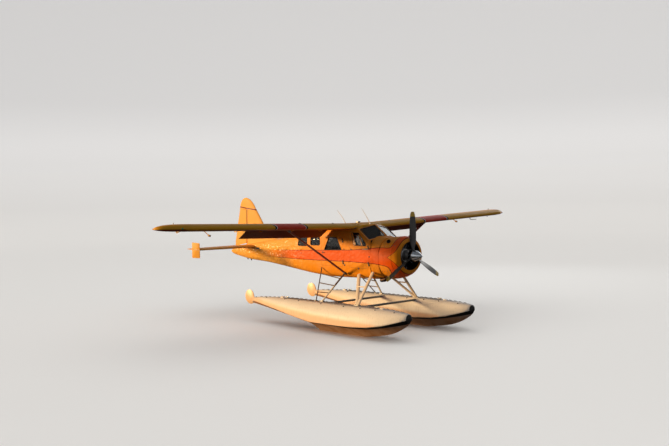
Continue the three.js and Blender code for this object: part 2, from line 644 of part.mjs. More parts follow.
function makeFloats() {
  const whole = join(loft(FLOAT_FORE.map(floatRing)), loft(FLOAT_AFT.map(floatRing)));
  const { pivot: [pivotX, pivotZ], half, boss, bossR, cheek: cheekThick } = WATER_RUDDER;
  const cheekOutline = [[110, 50], [-5, 35], [-35, 0], [-5, -35], [110, -35]].map(
    ([x, z]) => [pivotX + x, pivotZ + z]);
  const cheek = (side) => sidePlate(cheekOutline, side * (boss + SEAT), side * (boss + SEAT + cheekThick));
  // Mooring cleat pads on the deck, flat on top.
  const pads = [1850, -2600].map((x) => box([x - 70, x + 70], [-40, 40], [-2420, -2270]));
  const hull = join(
    whole.intersect(box([-5000, FLOAT.nose - SEAT], [-600, 600], [-3200, -2200])),
    cheek(1), cheek(-1), ...pads,
  );
  const tip = whole.intersect(box([FLOAT.nose, 3000], [-600, 600], [-3200, -2200]));
  const plate = join(
    sidePlate([
      [-4070, -2530], [-4110, -2600], [-4210, -2640], [-4340, -2645], [-4460, -2590], [-4540, -2490],
      [-4555, -2380], [-4520, -2270], [-4430, -2190], [-4310, -2165], [-4190, -2200], [-4110, -2290],
      [-4085, -2400], [-4075, -2500],
    ], -half, half),
    rod(at(pivotX, -boss, pivotZ), at(pivotX, boss, pivotZ), bossR, 10),
  );
  const placed = (made, side) => moved(mirrored(made, side), 0, side * FLOAT.y, 0);
  const made = {};
  for (const [name, side] of sides()) {
    made[name] = add(`float_${name}`, placed(hull, side), 'cream');
    add(`float_bumper_${name}`, placed(tip, side), 'rubber');
    add(`water_rudder_${name}`, placed(plate, side), 'gold');
  }
  return made;
}

// Struts between body, wings and floats.
function makeStruts(body, wings, floats) {
  const lowered = (made) => moved(made, 0, 0, -SEAT);
  const raised = (made) => moved(made, 0, 0, SEAT);
  for (const [name, side] of sides()) {
    const p = (x, y, z) => at(x, side * y, z);
    const hull = lowered(body.belly);
    const nose = lowered(body.nose);
    const deck = raised(floats[name]);
    const wall = moved(body.walls[name], 0, side * SEAT, 0);
    const brace = fairedBar(p(-440, 590, -1490), p(-410, 2960, -20), 135, 50, 12);
    add(`wing_strut_${name}`,
      cut(brace, moved(body.belly, 0, side * SEAT, 0), wall, lowered(wings[name])), 'red');

    const foot = join(
      fairedBar(p(750, 1300, -2322), p(690, 560, -1360), 130, 55),
      fairedBar(p(740, 1300, -2322), p(85, 560, -1465), 130, 55),
      fairedBar(p(738, 870, -1790), p(340, 870, -1795), 40, 24, 8),
    );
    add(`front_strut_${name}`, cut(foot, hull, nose, deck), 'silver');

    const lean = (share) => p(-560 - 230 * share, 560 + 727 * share, -1480 - 800 * share);
    const rail = (share) => p(-1540 + 470 * share, 612 + 676 * share, -1330 - 945 * share);
    const ladder = join(
      fairedBar(lean(0), lean(1.045), 80, 38),
      rod(rail(-0.005), rail(1.045), 16),
      ...[0.2, 0.48, 0.76].map((share) => rod(rail(share), lean(share * 0.93), 16)),
    );
    add(`rear_strut_${name}`, cut(ladder, hull, wall, deck), 'silver');
  }
  for (const [name, x] of [['front', 800], ['rear', -640]]) {
    const bar = fairedBar(at(x, -1225, -2345), at(x, 1225, -2345), 110, 80, 10);
    add(`spreader_bar_${name}`, cut(bar,
      moved(floats.port, 0, -SEAT, SEAT), moved(floats.starboard, 0, SEAT, SEAT)), 'silver');
  }
}

// Seats and instrument panel, standing on the floor.
function makeCabin() {
  const base = CABIN.floorZ + SEAT;
  // Columns: name, x of the back, y from, y to.
  const rows = [
    ['seat_front_port', -400, 90, 500], ['seat_front_starboard', -400, -500, -90],
    ['seat_middle', -1330, -500, 500], ['seat_rear', -2330, -470, 470],
  ];
  for (const [name, x, y0, y1] of rows) {
    const outline = [[60, base], [430, base], [430, -1120], [490, -1040], [480, -980], [110, -985],
      [0, -420], [-70, -400], [-100, -440], [-10, -1060]].map(([dx, z]) => [x + dx, z]);
    add(name, sidePlate(outline, y0, y1), 'cloth');
  }
  const wallX = CABIN.front - SEAT;
  add('instrument_panel', sidePlate(
    [[440, -720], [430, -440], [610, -425], [wallX, -430], [wallX, -720]], -500, 500), 'panel');
}

const wings = { port: makeWing('port', SIDES.port), starboard: makeWing('starboard', SIDES.starboard) };
const body = makeBody();
makeWindscreen(body.nose);
makeTail();
makeNose();
const floats = makeFloats();
makeStruts(body, wings, floats);
makeCabin();

const floatplane = new THREE.Group();
floatplane.name = 'floatplane';
for (const mesh of parts) floatplane.add(mesh);
floatplane.position.set(DATUM_X, 0, DATUM_Z);

export default floatplane;
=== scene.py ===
# Looks of a high-wing bush floatplane that stands on its two floats.
import json
from math import copysign, cos, pi, radians, sin, sqrt

import bmesh
import bpy
from mathutils import Matrix, Vector

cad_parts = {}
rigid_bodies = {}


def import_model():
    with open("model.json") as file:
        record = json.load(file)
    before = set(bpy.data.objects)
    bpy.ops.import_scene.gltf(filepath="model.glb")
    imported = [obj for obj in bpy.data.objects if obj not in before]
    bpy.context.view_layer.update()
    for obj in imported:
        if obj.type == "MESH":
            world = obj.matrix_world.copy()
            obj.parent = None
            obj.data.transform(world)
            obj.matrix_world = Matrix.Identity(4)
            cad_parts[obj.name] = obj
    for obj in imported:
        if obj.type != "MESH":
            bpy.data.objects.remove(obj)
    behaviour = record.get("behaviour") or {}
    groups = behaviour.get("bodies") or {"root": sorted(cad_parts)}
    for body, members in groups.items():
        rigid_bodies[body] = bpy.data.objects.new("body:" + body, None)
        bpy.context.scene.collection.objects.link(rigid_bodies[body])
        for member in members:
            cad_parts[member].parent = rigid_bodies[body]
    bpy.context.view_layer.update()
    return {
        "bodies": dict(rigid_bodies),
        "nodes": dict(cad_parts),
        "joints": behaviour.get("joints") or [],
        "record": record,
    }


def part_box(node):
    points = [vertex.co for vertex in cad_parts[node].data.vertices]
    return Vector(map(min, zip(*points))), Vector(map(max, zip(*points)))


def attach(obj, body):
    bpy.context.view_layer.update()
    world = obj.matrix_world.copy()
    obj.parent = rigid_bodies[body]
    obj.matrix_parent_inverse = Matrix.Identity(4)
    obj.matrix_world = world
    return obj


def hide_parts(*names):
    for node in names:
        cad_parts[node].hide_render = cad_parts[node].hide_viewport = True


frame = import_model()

# Metres. Every place is measured from the wing root's leading edge: x forward, y to port, z up.
ORIGIN = Vector((2.085, 0.0, 3.16))
SIDES = {"port": 1, "starboard": -1}
SKIN_GAP = 0.005
# Pieces that only touch in the real aircraft are held this far apart.
SEAM = 0.0003
FAR = 3.0
TO_PORT, UPWARD = Vector((0, 1, 0)), Vector((0, 0, 1))

WING = {
    "root_y": 0.62, "root_z": -0.045, "chord": 1.59, "dihedral": 2.05, "incidence": 2.0,
    "rear_face": -1.06, "hinge_x": -1.12, "flap_hinge_z": -0.038, "aileron_hinge_z": 0.004,
    "flap": (0.085, 3.265), "aileron": (3.305, 5.84), "flap_droop": 38.0, "balance_y": 4.64,
}
CABIN = {"front": 0.62, "rear": -2.9, "wall": 0.04, "floor_z": -1.36, "roof_half": 0.6197, "roof_end": -2.905}
FLOAT = {"y": 1.36, "nose": 2.8, "step": -0.8, "tail": -4.05, "chine": 1.63, "near_chine": 1.6}
PROP = {"z": -0.86, "plane": 1.8, "blades": 3}
TAIL = {"plane_z": -0.85, "hinge_x": -6.1, "inner": 0.225, "tip": 2.29, "half": 2.4,
        "rudder_x": -6.2, "horn_z": 0.45, "foot_z": -0.79}

# Float sections. Columns: x, half beam, crest z, chine z, keel z.
FORE_ROWS = [
    (-0.8, 0.452, -2.29, -2.868, -3.16), (0.5, 0.456, -2.29, -2.862, -3.16),
    (1.0, 0.454, -2.286, -2.846, -3.16), (1.6, 0.436, -2.288, -2.808, -3.095),
    (2.15, 0.372, -2.304, -2.722, -2.99), (2.6, 0.262, -2.328, -2.606, -2.81),
    (2.85, 0.15, -2.352, -2.528, -2.65), (2.93, 0.07, -2.385, -2.5, -2.56),
    (2.95, 0.03, -2.415, -2.48, -2.52),
]
AFT_ROWS = [
    (-0.8, 0.452, -2.29, -2.868, -3.06), (-1.8, 0.408, -2.292, -2.745, -2.905),
    (-2.8, 0.305, -2.318, -2.615, -2.76), (-3.6, 0.172, -2.358, -2.54, -2.65),
    (-4.05, 0.096, -2.396, -2.5, -2.595),
]

# Paint and finish colours, linear.
GOLD = (0.84, 0.29, 0.01)
TAIL_GOLD = (0.86, 0.42, 0.07)
# Painted shade: the wing's gold is the body's gold made darker and greener, as the same paint looks in shade
# under a pale sky.
SHADED_WING_GOLD = (0.7, 0.34, 0.012)
ORANGE_RED = (0.8, 0.108, 0.004)
DARK_RED = (0.16, 0.008, 0.006)
WING_RED = (0.62, 0.055, 0.026)
CREAM = (0.82, 0.79, 0.76)
BLACK = (0.01, 0.01, 0.011)


# Small tools for shapes.

def place(x, y, z):
    """A point of the aircraft, in the frame."""
    return ORIGIN + Vector((x, y, z))


def out_from(side):
    """Points of the aircraft with y counted outwards on that side."""
    return lambda x, y, z: place(x, side * y, z)


def smooth_table(rows):
    """A smooth function through rows of numbers, without overshoot: from the first column to the others."""
    rows = sorted(rows)
    xs = [row[0] for row in rows]
    gaps = [b - a for a, b in zip(xs, xs[1:])]

    def slopes(values):
        steep = [(b - a) / gap for a, b, gap in zip(values, values[1:], gaps)]
        inner = []
        for left, right, near, far in zip(steep, steep[1:], gaps, gaps[1:]):
            if left * right <= 0:
                inner.append(0.0)
            else:
                a, b = 2 * far + near, far + 2 * near
                inner.append((a + b) / (a / left + b / right))
        return [steep[0], *inner, steep[-1]]

    columns = [list(column) for column in zip(*[row[1:] for row in rows])]
    tangents = [slopes(column) for column in columns]

    def value(x):
        x = min(max(x, xs[0]), xs[-1])
        i = max(k for k in range(len(xs) - 1) if xs[k] <= x)
        t, gap = (x - xs[i]) / gaps[i], gaps[i]
        near, far = 1 - t * t * (3 - 2 * t), t * t * (3 - 2 * t)
        out = []
        for column, tangent in zip(columns, tangents):
            bend = gap * (tangent[i] * t * (1 - t) ** 2 - tangent[i + 1] * t * t * (1 - t))
            out.append(column[i] * near + column[i + 1] * far + bend)
        return out

    return value


def spread(start, end, count):
    return [start + (end - start) * i / (count - 1) for i in range(count)]


def circle(count, first=0.0):
    """Angles spread evenly round a circle."""
    return [first + 2 * pi * k / count for k in range(count)]


def round_ring(centre, across, other, radius, count):
    return [centre + (across * cos(a) + other * sin(a)) * radius for a in circle(count)]


def oblong(xs, zs):
    return [(xs[0], zs[0]), (xs[1], zs[0]), (xs[1], zs[1]), (xs[0], zs[1])]


def mesh_object(name, points, faces):
    mesh = bpy.data.meshes.new(name)
    mesh.from_pydata([tuple(p) for p in points], [], faces)
    mesh.update()
    made = bpy.data.objects.new(name, mesh)
    bpy.context.scene.collection.objects.link(made)
    return made


def outward(made):
    bm = bmesh.new()
    bm.from_mesh(made.data)
    bmesh.ops.remove_doubles(bm, verts=bm.verts, dist=1e-6)
    bmesh.ops.recalc_face_normals(bm, faces=bm.faces)
    bm.to_mesh(made.data)
    bm.free()
    return made


def loft(rings, looped=False, name="part"):
    """A closed skin over rings of points, ended by fans, or closed on itself."""
    count = len(rings[0])
    points = [p for ring in rings for p in ring]
    faces = []
    for k in range(len(rings) if looped else len(rings) - 1):
        near, far = k * count, (k + 1) % len(rings) * count
        faces += [(near + i, near + (i + 1) % count, far + (i + 1) % count, far + i) for i in range(count)]
    if not looped:
        for start in (0, (len(rings) - 1) * count):
            middle = sum((Vector(p) for p in points[start:start + count]), Vector()) / count
            points.append(middle)
            faces += [(start + i, start + (i + 1) % count, len(points) - 1) for i in range(count)]
    return outward(mesh_object(name, points, faces))


def plate(outline, y0, y1, plane="xz", name="part"):
    """An outline made solid along the axis that it leaves out."""
    def corner(a, b, depth):
        return place(a, depth, b) if plane == "xz" else place(a, b, depth)
    count = len(outline)
    points = [corner(a, b, depth) for depth in (y0, y1) for a, b in outline]
    faces = [tuple(range(count)), tuple(range(count, 2 * count))]
    faces += [(i, (i + 1) % count, count + (i + 1) % count, count + i) for i in range(count)]
    return outward(mesh_object(name, points, faces))


def block(xs, ys, zs, name="part"):
    return plate(oblong(xs, zs), *ys, name=name)


def rounded(outline, radius, steps=6):
    """An outline with each corner turned into an arc of about that radius."""
    out = []
    count = len(outline)
    for i, corner in enumerate(outline):
        corner = Vector(corner)
        before, after = Vector(outline[i - 1]) - corner, Vector(outline[(i + 1) % count]) - corner
        reach = min(radius, before.length * 0.45, after.length * 0.45)
        start, end = corner + before.normalized() * reach, corner + after.normalized() * reach
        for k in range(steps + 1):
            t = k / steps
            out.append(tuple(start * (1 - t) ** 2 + corner * 2 * t * (1 - t) + end * t * t))
    return out


def grown(outline, margin):
    """An outline moved outwards, edge by edge. It runs anticlockwise."""
    count = len(outline)
    area = sum(outline[i - 1][0] * outline[i][1] - outline[i][0] * outline[i - 1][1] for i in range(count))
    margin = margin if area > 0 else -margin
    out = []
    for i in range(count):
        here = Vector(outline[i])
        before, after = here - Vector(outline[i - 1]), Vector(outline[(i + 1) % count]) - here
        a = Vector((before.y, -before.x)).normalized()
        b = Vector((after.y, -after.x)).normalized()
        middle = (a + b).normalized()
        out.append(tuple(here + middle * margin / max(middle.dot(a), 0.3)))
    return out


def settle(made):
    """Modifiers turned into mesh."""
    shown = made.evaluated_get(bpy.context.evaluated_depsgraph_get())
    mesh = bpy.data.meshes.new_from_object(shown)
    made.modifiers.clear()
    old, made.data = made.data, mesh
    bpy.data.meshes.remove(old)
    return made


def carve(made, *cutters, how="DIFFERENCE", keep=False):
    for cutter in cutters:
        cut = made.modifiers.new("cut", "BOOLEAN")
        cut.operation, cut.solver, cut.object = how, "MANIFOLD", cutter
        settle(made)
        if not keep:
            bpy.data.objects.remove(cutter)
    return made


def common(made, *others):
    return carve(made, *others, how="INTERSECT")


def copy_of(made, name):
    twin = bpy.data.objects.new(name, made.data.copy())
    bpy.context.scene.collection.objects.link(twin)
    return twin


def joined(name, *pieces):
    """Several meshes as one object, each left as it is."""
    points, faces = [], []
    for piece in pieces:
        start = len(points)
        points += [v.co.copy() for v in piece.data.vertices]
        faces += [tuple(start + i for i in polygon.vertices) for polygon in piece.data.polygons]
        bpy.data.objects.remove(piece)
    return mesh_object(name, points, faces)


def mirror(made, side):
    """The same mesh on the other side of the aircraft, where side is -1."""
    if side < 0:
        for vertex in made.data.vertices:
            vertex.co.y = -vertex.co.y
        made.data.flip_normals()
    return made


def sweep(path, radius, sides=12, looped=False, name="part"):
    """A round tube along points, with a radius for all or one for each."""
    radii = radius if isinstance(radius, (list, tuple)) else [radius] * len(path)
    rings = []
    across = None
    for i, point in enumerate(path):
        before = path[i - 1] if i > 0 or looped else path[0]
        after = path[(i + 1) % len(path)] if i + 1 < len(path) or looped else path[-1]
        along = (after - before).normalized()
        if across is None:
            across = along.orthogonal().normalized()
        across = (across - along * across.dot(along)).normalized()
        rings.append(round_ring(point, across, along.cross(across), radii[i], sides))
    return loft(rings, looped, name=name)


def curve_through(points, steps=8):
    """Points on a smooth line through the given ones."""
    points = [Vector(p) for p in points]
    out = []
    for i in range(len(points) - 1):
        a, b = points[i], points[i + 1]
        before, after = points[max(i - 1, 0)], points[min(i + 2, len(points) - 1)]
        for k in range(steps):
            t = k / steps
            out.append(0.5 * (2 * a + (b - before) * t + (2 * before - 5 * a + 4 * b - after) * t * t
                + (3 * a - before - 3 * b + after) * t ** 3))
    return [*out, points[-1]]


def turned(profile, start, axis, sides, name="part"):
    """A profile of (distance along, radius) turned about an axis from a start point."""
    axis = Vector(axis).normalized()
    across = axis.orthogonal().normalized()
    other = axis.cross(across)
    rings = [round_ring(start + axis * along, across, other, max(radius, 1e-4), sides)
        for along, radius in profile]
    return loft(rings, name=name)


def bar(start, end, chord, thick, sides, name="part"):
    """A streamlined bar, round in front and thin behind, with its long way along the airstream."""
    axis = (end - start).normalized()
    wide = (Vector((1, 0, 0)) - axis * axis.x).normalized()
    thin = axis.cross(wide)
    outline = [wide * cos(a) * chord / 2 + thin * (sin(a) * (0.8 + 0.2 * cos(a))) * thick / 2
        for a in circle(sides)]
    return loft([[start.lerp(end, share) + out for out in outline]
        for share in (0, 0.02, 0.06, 0.5, 0.94, 0.98, 1)], name=name)


def bolt(centre, axis, radius):
    """A domed hexagon head on a washer."""
    axis = Vector(axis).normalized()
    washer = turned([(0, radius * 1.35), (radius * 0.25, radius * 1.35), (radius * 0.25, radius)], centre,
        axis, 16)
    head = turned([(radius * 0.25, radius), (radius * 0.9, radius), (radius * 1.05, radius * 0.7)], centre,
        axis, 6)
    return joined("bolt", washer, head)


def dress(made, material, slot, *nodes, body="airframe"):
    """Smooth shading, material, body and the solids that the piece stands for, which are hidden. The slot is
    not used.
    """
    mesh = made.data
    mesh.shade_smooth()
    mesh.set_sharp_from_angle(angle=radians(35))
    mesh.materials.clear()
    mesh.materials.append(material)
    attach(made, body)
    if nodes:
        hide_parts(*nodes)
    return made


def fit(name, pieces, material, slot, *nodes, body="airframe"):
    """Several meshes dressed as one piece."""
    return dress(joined(name, *pieces), material, slot, *nodes, body=body)


# Finishes.

class Wiring:
    """The nodes of one material or one shared effect, with sums on their sockets."""

    def __init__(self, tree, material=None):
        self.tree, self.material = tree, material
        self.shader = tree.nodes.get("Principled BSDF")

    def put(self, socket, value):
        if isinstance(value, bpy.types.NodeSocket):
            self.tree.links.new(value, socket)
        elif isinstance(value, tuple) and socket.type == "RGBA":
            socket.default_value = (*value[:3], 1)
        else:
            socket.default_value = value

    def node(self, kind, inputs=None, **settings):
        made = self.tree.nodes.new("ShaderNode" + kind)
        for name, value in settings.items():
            setattr(made, name, value)
        for name, value in (inputs or {}).items():
            self.put(made.inputs[name], value)
        return made

    def sum(self, operation, *values, clamp=False):
        made = self.node("Math", operation=operation, use_clamp=clamp)
        for socket, value in zip(made.inputs, values):
            self.put(socket, value)
        return made.outputs[0]

    def add(self, *values):
        total = values[0]
        for value in values[1:]:
            total = self.sum("ADD", total, value)
        return total

    def times(self, first, second):
        return self.sum("MULTIPLY", first, second)

    def less(self, first, second):
        return self.sum("SUBTRACT", first, second)

    def lowest(self, *values):
        total = values[0]
        for value in values[1:]:
            total = self.sum("MINIMUM", total, value)
        return total

    def step(self, value, start, end):
        """0 below start, 1 above end, smooth between. It falls where end is below start."""
        made = self.node("MapRange", interpolation_type="SMOOTHSTEP")
        for name, given in (("Value", value), ("From Min", start), ("From Max", end)):
            self.put(made.inputs[name], given)
        return made.outputs[0]

    def between(self, value, low, high, soft=0.003):
        return self.times(self.step(value, low - soft, low + soft), self.step(value, high + soft, high - soft))

    def mix(self, share, first, second):
        made = self.node("Mix", data_type="RGBA")
        for socket, value in zip((made.inputs[0], made.inputs[6], made.inputs[7]), (share, first, second)):
            self.put(socket, value)
        return made.outputs[2]

    def along(self, value, points):
        """A number that runs straight through (place, number) points."""
        made = self.node("FloatCurve")
        low, high = points[0][0], points[-1][0]
        heights = [number for _, number in points]
        base, room = min(heights), max(max(heights) - min(heights), 1e-6)
        curve = made.mapping.curves[0]
        while len(curve.points) < len(points):
            curve.points.new(0.5, 0.5)
        for point, (spot, number) in zip(curve.points, points):
            point.location = ((spot - low) / (high - low), (number - base) / room)
            point.handle_type = "VECTOR"
        made.mapping.update()
        share = self.sum("DIVIDE", self.less(value, low), high - low, clamp=True)
        self.put(made.inputs["Value"], share)
        return self.add(self.times(made.outputs[0], room), base)

    def part(self, vector, axis):
        return self.node("SeparateXYZ", {"Vector": vector}).outputs[axis]

    def noise(self, spot, scale, detail, roughness=0.5):
        given = {"Vector": spot, "Scale": scale, "Detail": detail, "Roughness": roughness}
        return self.node("TexNoise", given).outputs["Fac"]

    def effect(self, group, **values):
        made = self.node("Group")
        made.node_tree = group
        for name, value in values.items():
            self.put(made.inputs[name.replace("_", " ")], value)
        return made.outputs


def shared_effect(name, inputs, outputs):
    """An empty node group with those sockets: the group, its wiring, its input and output nodes."""
    group = bpy.data.node_groups.new(name, "ShaderNodeTree")
    for label, kind, value in inputs:
        socket = group.interface.new_socket(label, in_out="INPUT", socket_type="NodeSocket" + kind)
        socket.default_value = (*value, 1) if kind == "Color" else value
    for label, kind in outputs:
        group.interface.new_socket(label, in_out="OUTPUT", socket_type="NodeSocket" + kind)
    wiring = Wiring(group)
    return group, wiring, group.nodes.new("NodeGroupInput"), group.nodes.new("NodeGroupOutput")


def make_aircraft_place():
    """Where a point of the skin lies on the aircraft, from the wing root's leading edge."""
    group, w, _, out = shared_effect("place on the aircraft", [],
        [("X", "Float"), ("Y", "Float"), ("Z", "Float"), ("Point", "Vector")])
    spot = w.node("TexCoord").outputs["Object"]
    moved = w.node("VectorMath", operation="SUBTRACT")
    w.put(moved.inputs[0], spot)
    moved.inputs[1].default_value = ORIGIN
    split = w.node("SeparateXYZ", {"Vector": moved.outputs[0]})
    for axis in "XYZ":
        w.put(out.inputs[axis], split.outputs[axis])
    w.put(out.inputs["Point"], moved.outputs[0])
    return group


def make_weathering():
    """Sun fade in broad patches, fine dust, and thin dark streaks that run down or back."""
    group, w, given, out = shared_effect("weathering",
        [("Paint", "Color", (0.8, 0.8, 0.8)), ("Dirt Colour", "Color", (0.1, 0.075, 0.05)),
        ("Fade", "Float", 0.3), ("Dirt", "Float", 0.3), ("Gloss", "Float", 0.3)],
        [("Colour", "Color"), ("Roughness", "Float")])
    spot = w.node("TexCoord").outputs["Object"]
    broad = w.noise(spot, 1.3, 4.0, 0.6)
    fine = w.noise(spot, 34.0, 5.0, 0.65)
    stretched = w.node("Mapping", {"Vector": spot, "Scale": (9.0, 9.0, 0.9)})
    streak = w.noise(stretched.outputs[0], 3.0, 5.0)
    pale = w.times(w.step(broad, 0.4, 0.72), given.outputs["Fade"])
    faded = w.node("HueSaturation", {"Color": given.outputs["Paint"], "Saturation": 0.86, "Value": 1.16})
    paint = w.mix(pale, given.outputs["Paint"], faded.outputs["Color"])
    grime = w.times(w.times(w.step(streak, 0.5, 0.78), w.step(fine, 0.3, 0.75)), given.outputs["Dirt"])
    w.put(out.inputs["Colour"], w.mix(grime, paint, given.outputs["Dirt Colour"]))
    rough = w.add(given.outputs["Gloss"], w.times(fine, 0.1), w.times(grime, 0.35), w.times(pale, 0.15))
    w.put(out.inputs["Roughness"], rough)
    return group


def make_riveted_sheet():
    """Rows of flat rivets on sheet metal that dishes a little between its frames, and the sheets' seams."""
    group, w, given, out = shared_effect("riveted sheet",
        [("Along", "Float", 0.0), ("Across", "Float", 0.0), ("Frame Spacing", "Float", 0.42),
        ("Row Spacing", "Float", 0.28), ("Dishing", "Float", 1.0), ("Dish Scale", "Float", 4.2)],
        [("Height", "Float"), ("Seam", "Float")])
    along, across = given.outputs["Along"], given.outputs["Across"]

    def off_line(value, spacing):
        share = w.sum("DIVIDE", value, spacing)
        away = w.sum("ABSOLUTE", w.less(w.sum("FRACT", share), 0.5))
        return w.times(w.less(0.5, away), spacing)

    def rivets(on_line, travel):
        near = w.times(on_line, on_line)
        next_one = off_line(travel, 0.032)
        reach = w.sum("SQRT", w.add(near, w.times(next_one, next_one)))
        return w.step(reach, 0.0065, 0.0045)

    frame_line = off_line(along, given.outputs["Frame Spacing"])
    row_line = off_line(across, given.outputs["Row Spacing"])
    heads = w.sum("MAXIMUM", rivets(frame_line, across), rivets(row_line, along))
    spot = w.node("TexCoord").outputs["Object"]
    dish = w.noise(spot, given.outputs["Dish Scale"], 1.5, 0.4)
    flat = w.times(w.step(frame_line, 0.0, 0.09), w.step(row_line, 0.0, 0.07))
    dishing = w.times(w.times(w.less(dish, 0.5), flat), w.times(given.outputs["Dishing"], 1.6))
    seam = w.step(off_line(along, w.times(given.outputs["Frame Spacing"], 3.0)), 0.0035, 0.0015)
    height = w.add(dishing, w.times(heads, 0.22), w.times(seam, -0.3))
    w.put(out.inputs["Height"], height)
    w.put(out.inputs["Seam"], seam)
    return group


def make_fine_grain():
    """Fine unevenness of cast metal, rubber or moulded trim."""
    group, w, given, out = shared_effect("fine grain", [("Size", "Float", 120.0), ("Depth", "Float", 0.5)],
        [("Height", "Float"), ("Speckle", "Float")])
    spot = w.node("TexCoord").outputs["Object"]
    grain = w.noise(spot, given.outputs["Size"], 3.0)
    w.put(out.inputs["Height"], w.times(grain, given.outputs["Depth"]))
    w.put(out.inputs["Speckle"], w.step(grain, 0.45, 0.62))
    return group


PLACE_ON_AIRCRAFT = make_aircraft_place()
WEATHERING = make_weathering()
RIVETED_SHEET = make_riveted_sheet()
FINE_GRAIN = make_fine_grain()


def finish(name, **fixed):
    """The wiring of a new material, with the fixed values set on its shader's own sockets."""
    material = bpy.data.materials.new(name)
    material.use_nodes = True
    w = Wiring(material.node_tree, material)
    for label, value in fixed.items():
        w.put(w.shader.inputs[label.replace("_", " ")], value)
    return w


def weathered(w, paint, gloss, fade=0.3, dirt=0.3, dirt_colour=(0.1, 0.075, 0.05)):
    worn = w.effect(WEATHERING, Paint=paint, Fade=fade, Dirt=dirt, Gloss=gloss, Dirt_Colour=dirt_colour)
    w.put(w.shader.inputs["Base Color"], worn["Colour"])
    w.put(w.shader.inputs["Roughness"], worn["Roughness"])
    return worn


def raised(w, height, distance):
    bump = w.node("Bump", {"Height": height, "Distance": distance, "Strength": 1.0})
    w.put(w.shader.inputs["Normal"], bump.outputs[0])


def riveted(w, along, across, frames, rows, dishing, dish_scale=4.2):
    sheet = w.effect(RIVETED_SHEET, Along=along, Across=across, Frame_Spacing=frames, Row_Spacing=rows,
        Dishing=dishing, Dish_Scale=dish_scale)
    raised(w, sheet["Height"], 0.006)


def banded_gold(w, x, z):
    """Gold paint with an orange-red band along the body, edged in dark red, which wraps round the cowl."""
    upper_edge = w.along(x, [(-7.2, -1.02), (-2.58, -0.83), (-0.23, -0.73), (0.9, -0.62), (2.0, -0.6)])
    lower_edge = w.along(x, [(-7.2, -1.18), (-2.59, -1.14), (-0.24, -1.105), (0.8, -1.121), (1.22, -1.165),
        (2.0, -1.25)])
    over = w.sum("SMOOTH_MAX", w.less(upper_edge, z), w.less(x, 1.43), 0.22)
    front_low = w.add(w.times(w.add(z, 1.28), 0.45), 1.36)
    under = w.sum("SMOOTH_MAX", w.less(z, lower_edge), w.less(x, front_low), 0.35)
    rise = w.sum("POWER", w.times(w.sum("ABSOLUTE", w.add(z, 0.895)), 1 / 0.126), 1.3)
    front = w.less(1.668, w.times(w.sum("EXPONENT", w.times(rise, -1.0)), 0.32))
    inside = w.lowest(over, under, w.less(front, x))
    # The band thins out into gold towards the tail.
    fade = w.step(x, -5.6, -2.4)
    red = w.mix(w.step(inside, 0.016, 0.022), DARK_RED, ORANGE_RED)
    gold = w.mix(w.step(x, -1.8, -4.6), GOLD, TAIL_GOLD)
    # The wing's centre section on the cabin top takes the wing's gold, with its painted shade.
    gold = w.mix(w.step(z, -0.12, -0.03), gold, SHADED_WING_GOLD)
    return w.mix(w.times(w.step(inside, -0.003, 0.003), fade), gold, red)


def make_body_paint():
    w = finish("banded gold paint", Specular_IOR_Level=0.07)
    spot = w.effect(PLACE_ON_AIRCRAFT)
    colour = banded_gold(w, spot["X"], spot["Z"])
    # The pale fade patches are set strong here: weathering, and partly painted reflection, the mottled glints
    # of the sunlit sheet.
    worn = weathered(w, colour, fade=0.3, dirt=0.22, gloss=0.38)
    across = w.add(spot["Z"], w.times(w.sum("ABSOLUTE", spot["Y"]), 0.35))
    # The rear body is thinner sheet, which dishes more between its frames and is better polished.
    rear = w.times(w.step(spot["X"], -2.2, -3.4), w.step(spot["Z"], -0.46, -0.6))
    w.put(w.shader.inputs["Roughness"], w.less(worn["Roughness"], w.times(rear, 0.26)))
    riveted(w, spot["X"], across, frames=0.46, rows=0.26, dishing=w.add(w.times(rear, 4.6), 1.8),
        dish_scale=8.0)
    return w.material


def make_wing_paint(name, top, under):
    """Gold above, darker and greener than the body's gold as painted shade. A broad red band crosses each
    wing's leading edge between two black stripes. Faces turned down behind the leading edge take a darker red:
    red paint, darkened further as painted shade.
    """
    w = finish(name, Specular_IOR_Level=0.12)
    spot = w.effect(PLACE_ON_AIRCRAFT)
    span = w.sum("ABSOLUTE", spot["Y"])
    band = w.between(span, 2.52, 3.7)
    edging = w.sum("MAXIMUM", w.between(span, 2.49, 2.55), w.between(span, 3.64, 3.7))
    cream = w.sum("MAXIMUM", w.between(span, 2.55, 2.572), w.between(span, 3.618, 3.64))
    ahead = w.step(spot["X"], -0.62, -0.6)
    colour = w.mix(w.times(band, ahead), top, WING_RED)
    colour = w.mix(w.times(cream, ahead), colour, CREAM)
    colour = w.mix(w.times(edging, ahead), colour, BLACK)
    # Painted shade: behind the leading edge, faces turned down take the underside colour, red paint darkened to
    # its look in shade.
    facing = w.node("NewGeometry").outputs["Normal"]
    up = w.part(facing, "Z")
    below = w.times(w.step(up, -0.12, -0.42), w.step(spot["X"], -0.05, -0.1))
    colour = w.mix(below, colour, under)
    weathered(w, colour, fade=0.2, dirt=0.16, gloss=0.42)
    riveted(w, span, spot["X"], frames=0.4, rows=0.26, dishing=0.6)
    return w.material


def make_tail_paint():
    """Gold with a thin dark stripe that crosses the head of the fin."""
    w = finish("gold tail paint", Specular_IOR_Level=0.07)
    spot = w.effect(PLACE_ON_AIRCRAFT)
    height = w.less(spot["Z"], w.times(w.add(spot["X"], 6.5), -0.1))
    stripe = w.times(w.between(height, 0.485, 0.525), w.step(spot["X"], -4.4, -4.5))
    colour = w.mix(stripe, TAIL_GOLD, DARK_RED)
    weathered(w, colour, fade=0.15, dirt=0.14, gloss=0.38)
    riveted(w, w.add(spot["X"], spot["Y"]), w.add(spot["Z"], spot["Y"]), frames=0.38, rows=0.3, dishing=0.5)
    return w.material


